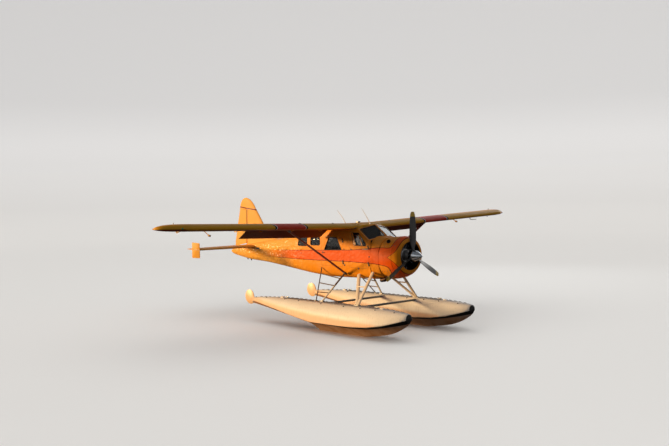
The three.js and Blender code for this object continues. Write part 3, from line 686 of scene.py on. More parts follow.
def make_float_paint():
    """Cream paint, warmer low on the sides as painted warm light, darker below the chine as painted shade, with
    a black band of painted shadow under the chine at the bow.
    """
    w = finish("cream float paint", Specular_IOR_Level=0.1)
    spot = w.effect(PLACE_ON_AIRCRAFT)
    x, z = spot["X"], spot["Z"]
    chine = w.along(x, [(row[0], row[3]) for row in sorted([*AFT_ROWS[1:], *FORE_ROWS])])
    patch_noise = w.noise(spot["Point"], 3.0, 6.0)
    # Painted warm light: below this line the sides are tinted warm orange, as lit by low warm light.
    turn = w.along(x, [(-4.1, -2.4), (-3.58, -2.43), (-2.06, -2.55), (-0.66, -2.64), (0.67, -2.685),
        (1.75, -2.71), (2.3, -2.75)])
    warm = w.step(w.less(z, turn), 0.07, -0.05)
    colour = w.mix(w.times(warm, 0.62), CREAM, (0.8, 0.4, 0.16))
    # Painted shade: below the chine the bottom turns dark orange-brown, in patches made by noise.
    low = w.step(w.less(chine, z), 0.0, 0.02)
    colour = w.mix(w.times(low, w.add(w.times(w.step(patch_noise, 0.35, 0.7), 0.3), 0.6)), colour,
        (0.34, 0.13, 0.035))
    # Painted shadow: a black band just under the chine, widest at the bow, stands for the shade under the spray
    # rail.
    wide = w.along(x, [(-0.85, 0.016), (0.2, 0.03), (1.0, 0.05), (2.2, 0.06), (2.85, 0.1), (2.95, 0.06)])
    under = w.less(chine, z)
    band = w.times(w.times(w.step(under, -0.006, 0.0), w.step(under, w.add(wide, 0.004), wide)),
        w.step(x, -0.82, -0.8))
    colour = w.mix(band, colour, BLACK)
    strip = w.times(w.between(under, -0.045, -0.012), w.step(x, 1.9, 2.0))
    colour = w.mix(strip, colour, (0.62, 0.6, 0.58))
    weathered(w, colour, fade=0.3, dirt=0.35, gloss=0.36)
    across = w.add(z, w.times(w.sum("ABSOLUTE", w.less(w.sum("ABSOLUTE", spot["Y"]), FLOAT["y"])), 0.6))
    riveted(w, x, across, frames=0.34, rows=0.19, dishing=0.8)
    return w.material


def make_plain_paint(name, paint, gloss, dirt=0.3, **fixed):
    w = finish(name, **{"Coat_Weight": 0.3, **fixed})
    weathered(w, paint, gloss, 0.25, dirt)
    grain = w.effect(FINE_GRAIN, Size=60.0, Depth=0.35)
    raised(w, grain["Height"], 0.0012)
    return w.material


def make_rear_leg_paint():
    """Painted light and shade on one leg: dark brown as in shade down to the ladder's middle, warm white as in
    sunlight below.
    """
    w = finish("rear leg paint")
    spot = w.effect(PLACE_ON_AIRCRAFT)
    patch_noise = w.noise(spot["Point"], 14.0, 4.0)
    # Painted light: the edge between the shaded top and the lit foot wanders with noise.
    low = w.step(w.add(spot["Z"], w.times(w.less(patch_noise, 0.5), 0.05)), -1.8, -1.86)
    weathered(w, w.mix(low, (0.085, 0.04, 0.02), (0.6, 0.55, 0.48)), gloss=0.38)
    raised(w, w.effect(FINE_GRAIN, Size=60.0, Depth=0.35)["Height"], 0.0012)
    return w.material


def make_bare_metal(name, metal, gloss, dirt=0.35, size=90.0):
    w = finish(name, Metallic=1.0)
    grain = w.effect(FINE_GRAIN, Size=size, Depth=0.5)
    colour = w.mix(w.times(grain["Speckle"], 0.22), metal, tuple(part * 0.75 for part in metal))
    weathered(w, colour, gloss, 0.15, dirt, (0.12, 0.1, 0.08))
    raised(w, grain["Height"], 0.001)
    return w.material


def make_spinner_metal():
    """Polished metal with fine turned lines round its axis."""
    w = finish("polished spinner", Metallic=1.0)
    spot = w.effect(PLACE_ON_AIRCRAFT)
    rings = w.sum("SINE", w.times(spot["X"], 500.0))
    weathered(w, (0.56, 0.61, 0.66), fade=0.1, dirt=0.15, gloss=0.14)
    raised(w, rings, 0.00004)
    return w.material


def make_heat_stained_steel():
    w = finish("heat-stained exhaust steel", Metallic=1.0)
    spot = w.effect(PLACE_ON_AIRCRAFT)
    grain = w.effect(FINE_GRAIN, Size=70.0, Depth=0.5)
    burnt = w.mix(w.step(spot["X"], 1.15, 0.9), (0.05, 0.03, 0.022), (0.03, 0.024, 0.025))
    colour = w.mix(grain["Speckle"], burnt, (0.065, 0.03, 0.016))
    weathered(w, colour, fade=0.1, dirt=0.5, gloss=0.38)
    raised(w, grain["Height"], 0.0012)
    return w.material


def make_rubber(name="black rubber", colour=(0.016, 0.015, 0.015)):
    w = finish(name, Specular_IOR_Level=0.35)
    grain = w.effect(FINE_GRAIN, Size=160.0, Depth=0.8)
    pale = w.mix(w.times(grain["Speckle"], 0.3), colour, tuple(part * 2.4 for part in colour))
    weathered(w, pale, fade=0.5, dirt=0.5, gloss=0.52, dirt_colour=(0.09, 0.08, 0.07))
    raised(w, grain["Height"], 0.0012)
    return w.material


def make_glass(name, tint, weight=1.0):
    """Clear acrylic with a light tint and patches of dust, which also roughen it a little."""
    w = finish(name, Transmission_Weight=weight, IOR=1.4, Specular_IOR_Level=0.4)
    spot = w.effect(PLACE_ON_AIRCRAFT)
    dust = w.noise(spot["Point"], 9.0, 6.0)
    w.put(w.shader.inputs["Base Color"], w.mix(w.times(w.step(dust, 0.45, 0.75), 0.25), tint,
        (0.3, 0.29, 0.27)))
    w.put(w.shader.inputs["Roughness"], w.add(w.times(w.step(dust, 0.48, 0.8), 0.1), 0.012))
    return w.material


def make_seat_cloth():
    """Tweed in two greys, woven across and along."""
    w = finish("grey tweed", Sheen_Weight=0.35, Sheen_Roughness=0.5)
    spot = w.effect(PLACE_ON_AIRCRAFT)
    warp = w.sum("SINE", w.times(w.add(spot["Y"], w.times(spot["X"], 0.08)), 2200.0))
    weft = w.sum("SINE", w.times(w.add(spot["Z"], spot["X"]), 2200.0))
    weave = w.times(warp, weft)
    fleck = w.noise(spot["Point"], 260.0, 2.0)
    colour = w.mix(w.step(fleck, 0.38, 0.66), (0.06, 0.062, 0.066), (0.17, 0.165, 0.155))
    weathered(w, colour, fade=0.3, dirt=0.25, gloss=0.8)
    raised(w, w.add(w.times(weave, 0.5), fleck), 0.0012)
    return w.material


def make_cabin_lining():
    w = finish("pale cabin lining")
    spot = w.effect(PLACE_ON_AIRCRAFT)
    grain = w.effect(FINE_GRAIN, Size=300.0, Depth=0.6)
    quilt = w.sum("ABSOLUTE", w.sum("SINE", w.times(spot["X"], 18.0)))
    weathered(w, (0.22, 0.19, 0.155), fade=0.2, dirt=0.35, gloss=0.72)
    raised(w, w.add(grain["Height"], w.times(w.step(quilt, 0.0, 0.12), 2.0)), 0.0015)
    return w.material


BODY_PAINT = make_body_paint()
# The underside colours are red paint darkened as painted shade, the flap's darker still.
WING_PAINT = make_wing_paint("gold wing paint", SHADED_WING_GOLD, (0.24, 0.035, 0.004))
FLAP_PAINT = make_wing_paint("gold flap paint", SHADED_WING_GOLD, (0.12, 0.012, 0.003))
TAIL_PAINT = make_tail_paint()
FLOAT_PAINT = make_float_paint()
STRUT_RED = make_plain_paint("red strut paint", (0.26, 0.018, 0.008), gloss=0.3, Coat_Weight=0.2)
LEG_WHITE = make_plain_paint("warm white leg paint", (0.68, 0.58, 0.48), gloss=0.36, Coat_Weight=0.1)
# Painted warm light: the water rudders' cream is tinted orange, as lit by warm low light.
WARM_LIT_RUDDER_CREAM = make_plain_paint("cream rudder paint", (0.8, 0.5, 0.28), gloss=0.36, Coat_Weight=0.0)
REAR_LEG = make_rear_leg_paint()
# Painted shade: the ladder's dark brown is its look in shade.
SHADED_LADDER_BROWN = make_plain_paint("dark brown ladder paint", (0.085, 0.04, 0.02), gloss=0.4, Coat_Weight=0.1)
SPREADER_GREY = make_plain_paint("grey spreader paint", (0.17, 0.165, 0.16), gloss=0.38, Coat_Weight=0.1)
GOLD_TRIM = make_plain_paint("gold trim paint", GOLD, gloss=0.28, Coat_Weight=0.2)
HINGE_BROWN = make_plain_paint("dark hinge paint", (0.05, 0.03, 0.018), gloss=0.5, Coat_Weight=0.0)
BLACK_TRIM = make_plain_paint("black trim paint", (0.014, 0.013, 0.013), gloss=0.42, dirt=0.4)
DECK_GREY = make_plain_paint("non-slip deck grey", (0.055, 0.052, 0.048), gloss=0.82, dirt=0.6, Coat_Weight=0.0)
STRUT_SILVER = make_bare_metal("silver strut metal", (0.72, 0.71, 0.7), gloss=0.28)
DARK_STEEL = make_bare_metal("dark steel", (0.2, 0.195, 0.19), gloss=0.36)
ENGINE_METAL = make_bare_metal("engine grey casting", (0.26, 0.26, 0.265), gloss=0.46, dirt=0.6, size=45.0)
FIN_METAL = make_bare_metal("oily cylinder fins", (0.36, 0.38, 0.42), gloss=0.4, dirt=0.7, size=45.0)
SPINNER_METAL = make_spinner_metal()
EXHAUST_STEEL = make_heat_stained_steel()
BLADE_BLACK = make_plain_paint("matt black blade paint", (0.018, 0.018, 0.019), gloss=0.44, dirt=0.35)
BLADE_TIP = make_plain_paint("yellow blade tip", (0.72, 0.46, 0.03), gloss=0.4)
RUBBER = make_rubber()
GASKET = make_rubber("window rubber", (0.022, 0.021, 0.02))
SCREEN_GLASS = make_glass("windscreen glass", (0.34, 0.37, 0.38))
SIDE_GLASS = make_glass("side window glass", (0.38, 0.36, 0.34))
SMOKED_PANE = make_glass("smoked pane", (0.03, 0.03, 0.035), 0.15)
SEAT_CLOTH = make_seat_cloth()
CABIN_LINING = make_cabin_lining()
FLOOR_COVER = make_plain_paint("dark floor covering", (0.035, 0.034, 0.033), gloss=0.75, dirt=0.5,
    Coat_Weight=0.0)
PANEL_BLACK = make_plain_paint("crackle black panel", (0.02, 0.02, 0.021), gloss=0.6, dirt=0.2)
DIAL_WHITE = make_plain_paint("dial white", (0.7, 0.69, 0.64), gloss=0.35, dirt=0.05)
LENS_RED = make_plain_paint("red lamp lens", (0.45, 0.012, 0.01), gloss=0.08, dirt=0.05, Coat_Weight=0.8)
LENS_GREEN = make_plain_paint("green lamp lens", (0.01, 0.3, 0.09), gloss=0.08, dirt=0.05, Coat_Weight=0.8)
LENS_CLEAR = make_plain_paint("pale lamp lens", (0.66, 0.62, 0.55), gloss=0.08, dirt=0.05, Coat_Weight=0.8)


# Body. Columns: x, half width, top z, bottom z, squareness of the section.

NOSE_ROWS = [(0.94, 0.6, -0.338, -1.592, 2.3), (0.62, 0.612, -0.3, -1.6, 3.2)]
CABIN_ROWS = [
    (0.7, 0.612, 0.035, -1.6, 4.8), (0.3, 0.615, 0.035, -1.605, 4.8),
    (-0.2, 0.616, 0.028, -1.612, 5.0), (-1.1, 0.616, -0.01, -1.63, 5.4),
    (-1.6, 0.614, -0.105, -1.62, 5.2), (-2.33, 0.596, -0.24, -1.58, 4.4),
    (-2.901, 0.568, -0.33, -1.53, 4.0),
]
TAIL_ROWS = [
    (-2.9, 0.568, -0.33, -1.53, 4.0), (-3.93, 0.44, -0.48, -1.44, 3.4),
    (-5.0, 0.305, -0.64, -1.36, 2.9), (-5.83, 0.205, -0.76, -1.325, 2.6),
    (-6.64, 0.105, -0.872, -1.23, 2.3), (-7.0, 0.05, -0.968, -1.166, 2.0),
    (-7.12, 0.014, -1.05, -1.108, 2.0),
]
ROOF_LINE = [(0.7, -0.125), (-1.59, -0.125), (-1.76, -0.206), (CABIN["roof_end"], -0.385)]
# Outlines and handles are x and z. A hinge has its x and the heights of its two parts.
DOORS = {
    "cockpit_door": {
        "edge": [(-0.25, -1.27), (0.556, -1.27), (0.556, -0.52), (0.2, -0.17), (-0.25, -0.17)],
        "window": [(-0.07, -0.588), (0.44, -0.588), (0.44, -0.515), (0.13, -0.21), (-0.18, -0.21)],
        "hinge": (0.56, (-1.19, -0.69)), "handle": (-0.2, -0.72),
    },
    "cabin_door": {
        "edge": [(-1.555, -1.27), (-0.564, -1.27), (-0.564, -0.365), (-1.4, -0.365),
                 (-1.555, -0.44)],
        "window": [(-1.42, -0.78), (-0.625, -0.75), (-0.83, -0.385), (-1.2, -0.385)],
        "hinge": (-0.56, (-1.19, -0.52)), "handle": (-1.49, -0.86),
    },
}
REAR_WINDOWS = {
    "rear_window_fore": [(-2.085, -0.655), (-1.63, -0.645), (-1.63, -0.395), (-2.085, -0.395)],
    "rear_window_aft": [(-2.735, -0.7), (-2.27, -0.69), (-2.27, -0.41), (-2.735, -0.41)],
}
# One pane's corners: x, y outwards, z.
SCREEN_CORNERS = [(0.69, 0.022, -0.31), (0.57, 0.598, -0.412), (0.165, 0.598, -0.1), (0.25, 0.022, 0.0)]


def body_ring(shape, x, inset=0.0):
    half, top, bottom, square = shape(x)
    middle, high = (top + bottom) / 2, (top - bottom) / 2 - inset

    def bend(value):
        return copysign(abs(value) ** (2 / square), value)

    return [place(x, bend(cos(a)) * (half - inset), middle + bend(sin(a)) * high) for a in circle(96, pi / 96)]


def body_skin(rows, inset=0.0, front=0.0, rear=0.0, steps=24, name="part"):
    """The body's skin over a table, or a skin that lies inside it, with its ends moved out."""
    shape = smooth_table(rows)
    xs = spread(rows[0][0], rows[-1][0], steps)
    xs = [xs[0] + front, *xs[1:-1], xs[-1] - rear]
    return loft([body_ring(shape, x, inset) for x in xs], name=name)


def side_cut(outline, side, margin, radius):
    return plate(rounded(grown(outline, margin), radius), side * 0.3, side * FAR)


def screen_pane(side, margin, inner, outer, radius=0.0, name="part"):
    """One pane of the windscreen, grown in its own plane and thick along its normal."""
    corners = [place(x, side * y, z) for x, y, z in SCREEN_CORNERS]
    across = (corners[1] - corners[0]).normalized()
    normal = across.cross(corners[3] - corners[0]).normalized()
    if normal.x < 0:
        normal.negate()
    up = normal.cross(across).normalized()
    flat = [((p - corners[0]).dot(across), (p - corners[0]).dot(up)) for p in corners]
    if flat[1][0] * flat[3][1] < 0:
        flat.reverse()
    outline = grown(flat, margin)
    if radius:
        outline = rounded(outline, radius)
    rings = [[corners[0] + across * u + up * v + normal * height for u, v in outline]
        for height in (inner, outer)]
    return loft(rings, name=name)


def face_finish(made, material, test):
    """A second finish on the faces that pass the test of their centre and normal."""
    made.data.materials.append(material)
    last = len(made.data.materials) - 1
    for polygon in made.data.polygons:
        if test(polygon.center - ORIGIN, polygon.normal):
            polygon.material_index = last
    return made


def lined(made):
    """Cabin lining on what faces the cabin."""
    def faces_cabin(spot, normal):
        axis = Vector((0.0, spot.y, spot.z + 0.82))
        room = 0.59 if spot.x > -1.6 else 0.59 - (-1.6 - spot.x) * 0.035
        return normal.dot(axis) < -0.05 and abs(spot.y) < room and spot.z > -1.5
    return face_finish(made, CABIN_LINING, faces_cabin)


def softened(made, width, angle=50):
    """A small round on the hard edges, so that they catch the light."""
    bevel = made.modifiers.new("edge", "BEVEL")
    bevel.width, bevel.segments, bevel.limit_method = width, 2, "ANGLE"
    bevel.angle_limit = radians(angle)
    bevel.use_clamp_overlap = True
    return settle(made)


def make_body():
    outer = body_skin(CABIN_ROWS, steps=34)
    inner = body_skin(CABIN_ROWS, CABIN["wall"], 0.05, 0.05, steps=34)
    shell = carve(copy_of(outer, "cabin shell"), inner, keep=True)
    for side in SIDES.values():
        halves = block((-0.4, 1.6), (0.0, side * 2.0), (-0.9, 0.9))
        shell = carve(shell, common(screen_pane(side, 0.9, -SEAM, 0.9), halves))
    glass_room = carve(body_skin(CABIN_ROWS, 0.014, steps=34),
        body_skin(CABIN_ROWS, 0.023, 0.001, 0.001, steps=34))
    length = (CABIN["rear"], CABIN["front"])

    floor = common(copy_of(outer, "cabin_floor_skin"), block(length, (-0.7, 0.7), (-1.8, CABIN["floor_z"])))
    hollow = common(copy_of(inner, "bilge"), block((-4, 4), (-0.7, 0.7), (-1.8, CABIN["floor_z"] - 0.04)))
    carve(floor, hollow)
    dress(floor, BODY_PAINT, "gold_paint", "cabin_floor")
    face_finish(floor, FLOOR_COVER, lambda spot, normal: normal.z > 0.6 and spot.z > -1.365)

    wall_outline = [*ROOF_LINE, (CABIN["roof_end"], CABIN["floor_z"]), (0.7, CABIN["floor_z"])]
    for name, side in SIDES.items():
        wall = common(copy_of(shell, f"cabin_wall_{name}"), plate(wall_outline, side * 0.15, side * FAR),
            block(length, (-FAR, FAR), (-2.0, 0.5)))
        for door, shape in DOORS.items():
            make_door(door, name, side, shape, shell, glass_room)
            carve(wall, side_cut(shape["edge"], side, SKIN_GAP, 0.06))
        for window, outline in REAR_WINDOWS.items():
            carve(wall, side_cut(outline, side, 0.0, 0.07))
            pane = common(copy_of(glass_room, f"{window}_pane_{name}"), side_cut(outline, side, -0.0005, 0.07))
            dress(pane, SIDE_GLASS, "window_glass", f"{window}_{name}")
            window_seal(f"{window}_seal_{name}", outline, side, 0.07, "airframe")
        dress(wall, BODY_PAINT, "gold_paint", f"cabin_side_{name}")
        lined(wall)
        # A small dark pane ahead of each cockpit door's window, and two bars across the window.
        front_door = f"cockpit_door_{name}"
        quarter = [(0.3, -0.455), (0.452, -0.583), (0.3, -0.583)]
        on_skin(f"quarter_pane_{name}", rounded(quarter, 0.01), side, 0.001, SMOKED_PANE, "window_glass",
            front_door, sunk=0.02)
        strips = {"rear": [(-0.185, -0.205), (-0.15, -0.205), (0.02, -0.592), (-0.075, -0.592)],
            "front": [(0.135, -0.235), (0.175, -0.245), (0.302, -0.592), (0.262, -0.592)]}
        for label, strip in strips.items():
            on_skin(f"window_bar_{label}_{name}", strip, side, 0.003, GOLD_TRIM, "gold_paint", front_door,
                sunk=0.016)
        slot = oblong((0.29, 0.53), (-0.672, -0.706))
        on_skin(f"door_slot_{name}", rounded(slot, 0.012), side, 0.002, BLACK_TRIM, "bumper_rubber", front_door)

    roof_outline = [*ROOF_LINE, (CABIN["roof_end"], 0.4), (0.7, 0.4)]
    roof = common(shell, plate(roof_outline, -FAR, FAR),
        block(length, (-CABIN["roof_half"], CABIN["roof_half"]), (-0.5, 0.4)))
    roof.name = "cabin_top"
    middle = loft([wing_ring(y, 0.0, -1.59, 1.0, True) for y in (-CABIN["roof_half"], CABIN["roof_half"])])
    middle = common(middle, block((-1.586, 0.0), (-0.7, 0.7), (-0.124, 0.3)))
    roof = carve(roof, middle, how="UNION")
    dress(roof, BODY_PAINT, "gold_paint", "cabin_roof")
    lined(roof)
    bpy.data.objects.remove(inner)
    bpy.data.objects.remove(glass_room)

    wall = common(body_skin(CABIN_ROWS, CABIN["wall"] + SEAM, name="cabin_rear_wall"),
        block((CABIN["rear"] + 0.001, CABIN["rear"] + 0.026), (-FAR, FAR), (CABIN["floor_z"], -0.39)))
    dress(wall, CABIN_LINING, "gold_paint", "cabin_bulkhead")
    nose = loft([body_ring(smooth_table(NOSE_ROWS), x) for x in spread(0.938, 0.62, 10)], name="nose_skin")
    dress(nose, BODY_PAINT, "gold_paint", "nose_section")
    bpy.data.objects.remove(outer)


def skin_y(x, z, rows=None):
    """How far out the body's skin lies at that place on its side."""
    half, top, bottom, square = smooth_table(rows or (CABIN_ROWS if x > -2.9 else TAIL_ROWS))(x)
    middle, high = (top + bottom) / 2, (top - bottom) / 2
    share = min(abs(z - middle) / high, 0.999)
    return half * (1 - share ** square) ** (1 / square)


def on_skin(name, outline, side, proud, material, slot, body="airframe", rows=None, sunk=0.004):
    """A thin plate that lies on the body's side along its curve."""
    points, faces = [], []
    count = len(outline)
    middle = (sum(x for x, _ in outline) / count, sum(z for _, z in outline) / count)
    for out in (proud, -sunk):
        for x, z in [*outline, middle]:
            points.append(place(x, side * (skin_y(x, z, rows) + out), z))
    for start in (0, count + 1):
        faces += [(start + i, start + (i + 1) % count, start + count) for i in range(count)]
    faces += [(i, (i + 1) % count, count + 1 + (i + 1) % count, count + 1 + i) for i in range(count)]
    return dress(outward(mesh_object(name, points, faces)), material, slot, body=body)


def window_seal(name, outline, side, radius, body):
    """A rubber bead round a side window."""
    path = [place(x, side * (skin_y(x, z) - 0.001), z) for x, z in rounded(outline, radius)]
    return dress(sweep(path, 0.011, 8, looped=True, name=name), GASKET, "bumper_rubber", body=body)


def make_door(door, name, side, shape, shell, glass_room):
    body = f"{door}_{name}"
    leaf = common(copy_of(shell, f"{door}_leaf_{name}"), side_cut(shape["edge"], side, 0.0, 0.06))
    carve(leaf, side_cut(shape["window"], side, 0.0, 0.05))
    dress(leaf, BODY_PAINT, "gold_paint", body, body=body)
    lined(leaf)
    pane = common(copy_of(glass_room, f"{door}_pane_{name}"), side_cut(shape["window"], side, -0.0005, 0.05))
    dress(pane, SIDE_GLASS, "window_glass", f"{door}_glass_{name}", body=body)
    window_seal(f"{door}_seal_{name}", shape["window"], side, 0.05, body)
    hinge_x, heights = shape["hinge"]
    knuckles, leaves = [], []
    for foot in heights:
        for part, store in enumerate((leaves, knuckles)):
            low = foot + part * 0.0603
            barrel = turned([(0, 0.007), (0.002, 0.009), (0.058, 0.009), (0.06, 0.007)],
                place(hinge_x, side * 0.628, low), (0, 0, 1), 16)
            reach = 0.026 if part == 0 else -0.03
            strap = block((hinge_x + reach * 0.12, hinge_x + reach), (side * 0.6155, side * 0.632),
                (low, low + 0.06))
            store.append(joined("hinge half", barrel, strap))
    fit(f"{door}_knuckles_{name}", knuckles, HINGE_BROWN, "strut_silver", body=body)
    fit(f"{door}_hinge_plates_{name}", leaves, HINGE_BROWN, "strut_silver")
    # A turning handle on a round plate.
    x, z = shape["handle"]
    y = side * skin_y(x, z)
    stem = turned([(-0.004, 0.03), (0.003, 0.03), (0.004, 0.026), (0.004, 0.012), (0.016, 0.01)],
        place(x, y, z), (0, side, 0), 20)
    path = curve_through([place(x, y + side * 0.014, z), place(x + 0.035, y + side * 0.017, z),
        place(x + 0.085, y + side * 0.014, z - 0.004)], 5)
    grip = sweep(path, [0.009] * 4 + [0.008] * (len(path) - 4), 10)
    fit(f"{door}_handle_{name}", [stem, grip], HINGE_BROWN, "strut_silver", body=body)


def make_windscreen():
    rims = [carve(screen_pane(side, 0.034, 0.0, 0.026, 0.02), screen_pane(side, 0.0, -0.06, 0.12, 0.03))
        for side in SIDES.values()]
    rings = []
    for x, z in ((0.69, -0.31), (0.25, 0.0)):
        corners = [(-0.03, 0.014), (0.03, 0.014), (0.036, 0.03), (0.024, 0.046), (-0.024, 0.046),
            (-0.036, 0.03)]
        rings.append([place(x + up * 0.45, y, z + up * 0.75) for y, up in corners])
    frame = joined("windscreen_rim", loft(rings), *rims)
    dress(softened(frame, 0.003), GOLD_TRIM, "gold_paint", "windscreen_frame")
    for name, side in SIDES.items():
        pane = screen_pane(side, -SEAM, 0.006, 0.015, 0.03, name=f"windscreen_pane_{name}")
        dress(pane, SCREEN_GLASS, "window_glass", f"windscreen_{name}")
        corners = [Vector(p) for p in SCREEN_CORNERS]
        middle = sum(corners, Vector()) / 4
        normal = (corners[1] - corners[0]).cross(corners[3] - corners[0]).normalized()
        normal = normal if normal.x > 0 else -normal
        edge = [p.lerp(middle, 0.02) + normal * 0.016 for p in corners]
        path = []
        for i in range(4):
            for t in (0.06, 0.3, 0.5, 0.7, 0.94):
                path.append(edge[i].lerp(edge[(i + 1) % 4], t))
        path = [place(p.x, side * p.y, p.z) for p in path]
        dress(sweep(path, 0.007, 8, looped=True, name=f"windscreen_seal_{name}"), GASKET, "bumper_rubber")


def make_tail_cone():
    shape = smooth_table(TAIL_ROWS)
    cone = loft([body_ring(shape, x) for x in spread(TAIL_ROWS[0][0], TAIL_ROWS[-1][0], 40)], name="rear_body")
    room = loft([body_ring(shape, x, 0.022) for x in [-2.85, *spread(-2.95, -6.6, 12)]])
    dress(carve(cone, room), BODY_PAINT, "gold_paint", "tail_cone")


# Tail. A symmetrical section runs through (share of the chord, share of the half thickness).

TAIL_FOIL = [(0, 0), (0.012, 0.26), (0.05, 0.5), (0.12, 0.76), (0.25, 0.95), (0.5, 1), (0.8, 0.85), (1, 0.7)]


def tail_section(foil, lead, rear, half, point):
    upper = [point(lead + (rear - lead) * along, high * half) for along, high in foil]
    lower = [point(lead + (rear - lead) * along, -high * half) for along, high in reversed(foil[1:])]
    return upper + lower


def rounded_foil(foil, steps=22):
    """The section's shares taken smoothly, closer together near the leading edge."""
    shape = smooth_table([(sqrt(along), high) for along, high in foil])
    return [(t * t, shape(t)[0]) for t in spread(0, 1, steps)]


def make_tail():
    foil = rounded_foil(TAIL_FOIL)
    z = TAIL["plane_z"]
    rear_face = TAIL["hinge_x"] + 0.052
    rows = [(0.0, -5.45, 0.048), (2.25, -5.61, 0.034), (2.345, -5.618, 0.031), (2.385, -5.634, 0.026),
        (2.4, -5.65, 0.016)]
    rings = []
    for y, lead, half in [(-y, lead, half) for y, lead, half in reversed(rows[1:])] + rows:
        rings.append(tail_section(foil, lead, rear_face, half, lambda x, up, y=y: place(x, y, z + up)))
    plane = loft(rings)
    tips = []
    for side in SIDES.values():
        tips.append(block((rear_face + 0.01, TAIL["hinge_x"] - 0.022),
            (side * (TAIL["inner"] - 0.02), side * TAIL["inner"]), (z - 0.022, z + 0.022)))
        rings = []
        for y, half in ((TAIL["tip"], 0.03), (2.37, 0.027), (TAIL["half"], 0.018)):
            profile = [(rear_face + 0.01, 0.9), (-6.3, 0.7), (-6.46 + (y - TAIL["tip"]) * 0.4, 0.1)]
            rings.append([place(x, side * y, z + half * share) for x, share in profile]
                + [place(x, side * y, z - half * share) for x, share in reversed(profile)])
        tips.append(loft(rings))
    fit("tailplane_whole", [plane, *tips], TAIL_PAINT, "gold_paint", "tailplane")

    profile = [(0.034, 0.4), (0.03, 0.72), (0.018, 0.95), (-0.02, 1.0), (-0.12, 0.82), (-0.23, 0.6)]
    for name, side in SIDES.items():
        rings = []
        for y, aft, half in ((TAIL["inner"] + SKIN_GAP, -0.5, 0.033), (1.2, -0.44, 0.03),
                (TAIL["tip"] - SKIN_GAP, -0.37, 0.026)):
            upper = [*profile, (aft, 0.12)]
            points = upper + [(x, -share) for x, share in reversed(upper)]
            rings.append([place(TAIL["hinge_x"] + x, side * y, z + half * share) for x, share in points])
        blade = loft(rings, name=f"elevator_skin_{name}")
        plan = [(-6.14, 0.1), (-6.14, 0.225), (-6.72, 0.4), (-6.72, 0.1)]
        carve(blade, plate([(x, side * y) for x, y in plan], z - 0.2, z + 0.2, plane="xy"))
        pins = [sweep([place(TAIL["hinge_x"], side * a, z), place(TAIL["hinge_x"], side * b, z)], 0.01)
            for a, b in ((0.2255, 0.24), (2.275, 2.2895))]
        fit(f"elevator_blade_{name}", [blade, *pins], TAIL_PAINT, "gold_paint", f"elevator_{name}",
            body="elevator")
        outline = rounded([(-5.64, -1.13), (-5.65, -0.63), (-6.085, -0.615), (-6.095, -1.14)], 0.035)
        finlet = plate(outline, side * (TAIL["half"] + SEAM), side * (TAIL["half"] + 0.0163),
            name=f"finlet_skin_{name}")
        dress(softened(finlet, 0.005), TAIL_PAINT, "gold_paint", f"finlet_{name}")
        rib = sweep([place(-5.68, side * 2.4155, -0.86), place(-6.05, side * 2.4155, -0.86)], 0.006)
        bolts = [bolt(place(x, side * 2.412, -0.845), (0, side, 0), 0.006) for x in (-5.75, -5.9, -6.02)]
        fit(f"finlet_fittings_{name}", [rib, *bolts], DARK_STEEL, "strut_silver")


def column(rows, foil):
    """An upright surface. Columns: z, leading edge x, rear edge x, half thickness."""
    return loft([tail_section(foil, lead, rear, half, lambda x, out, z=z: place(x, out, z))
        for z, lead, rear, half in rows])


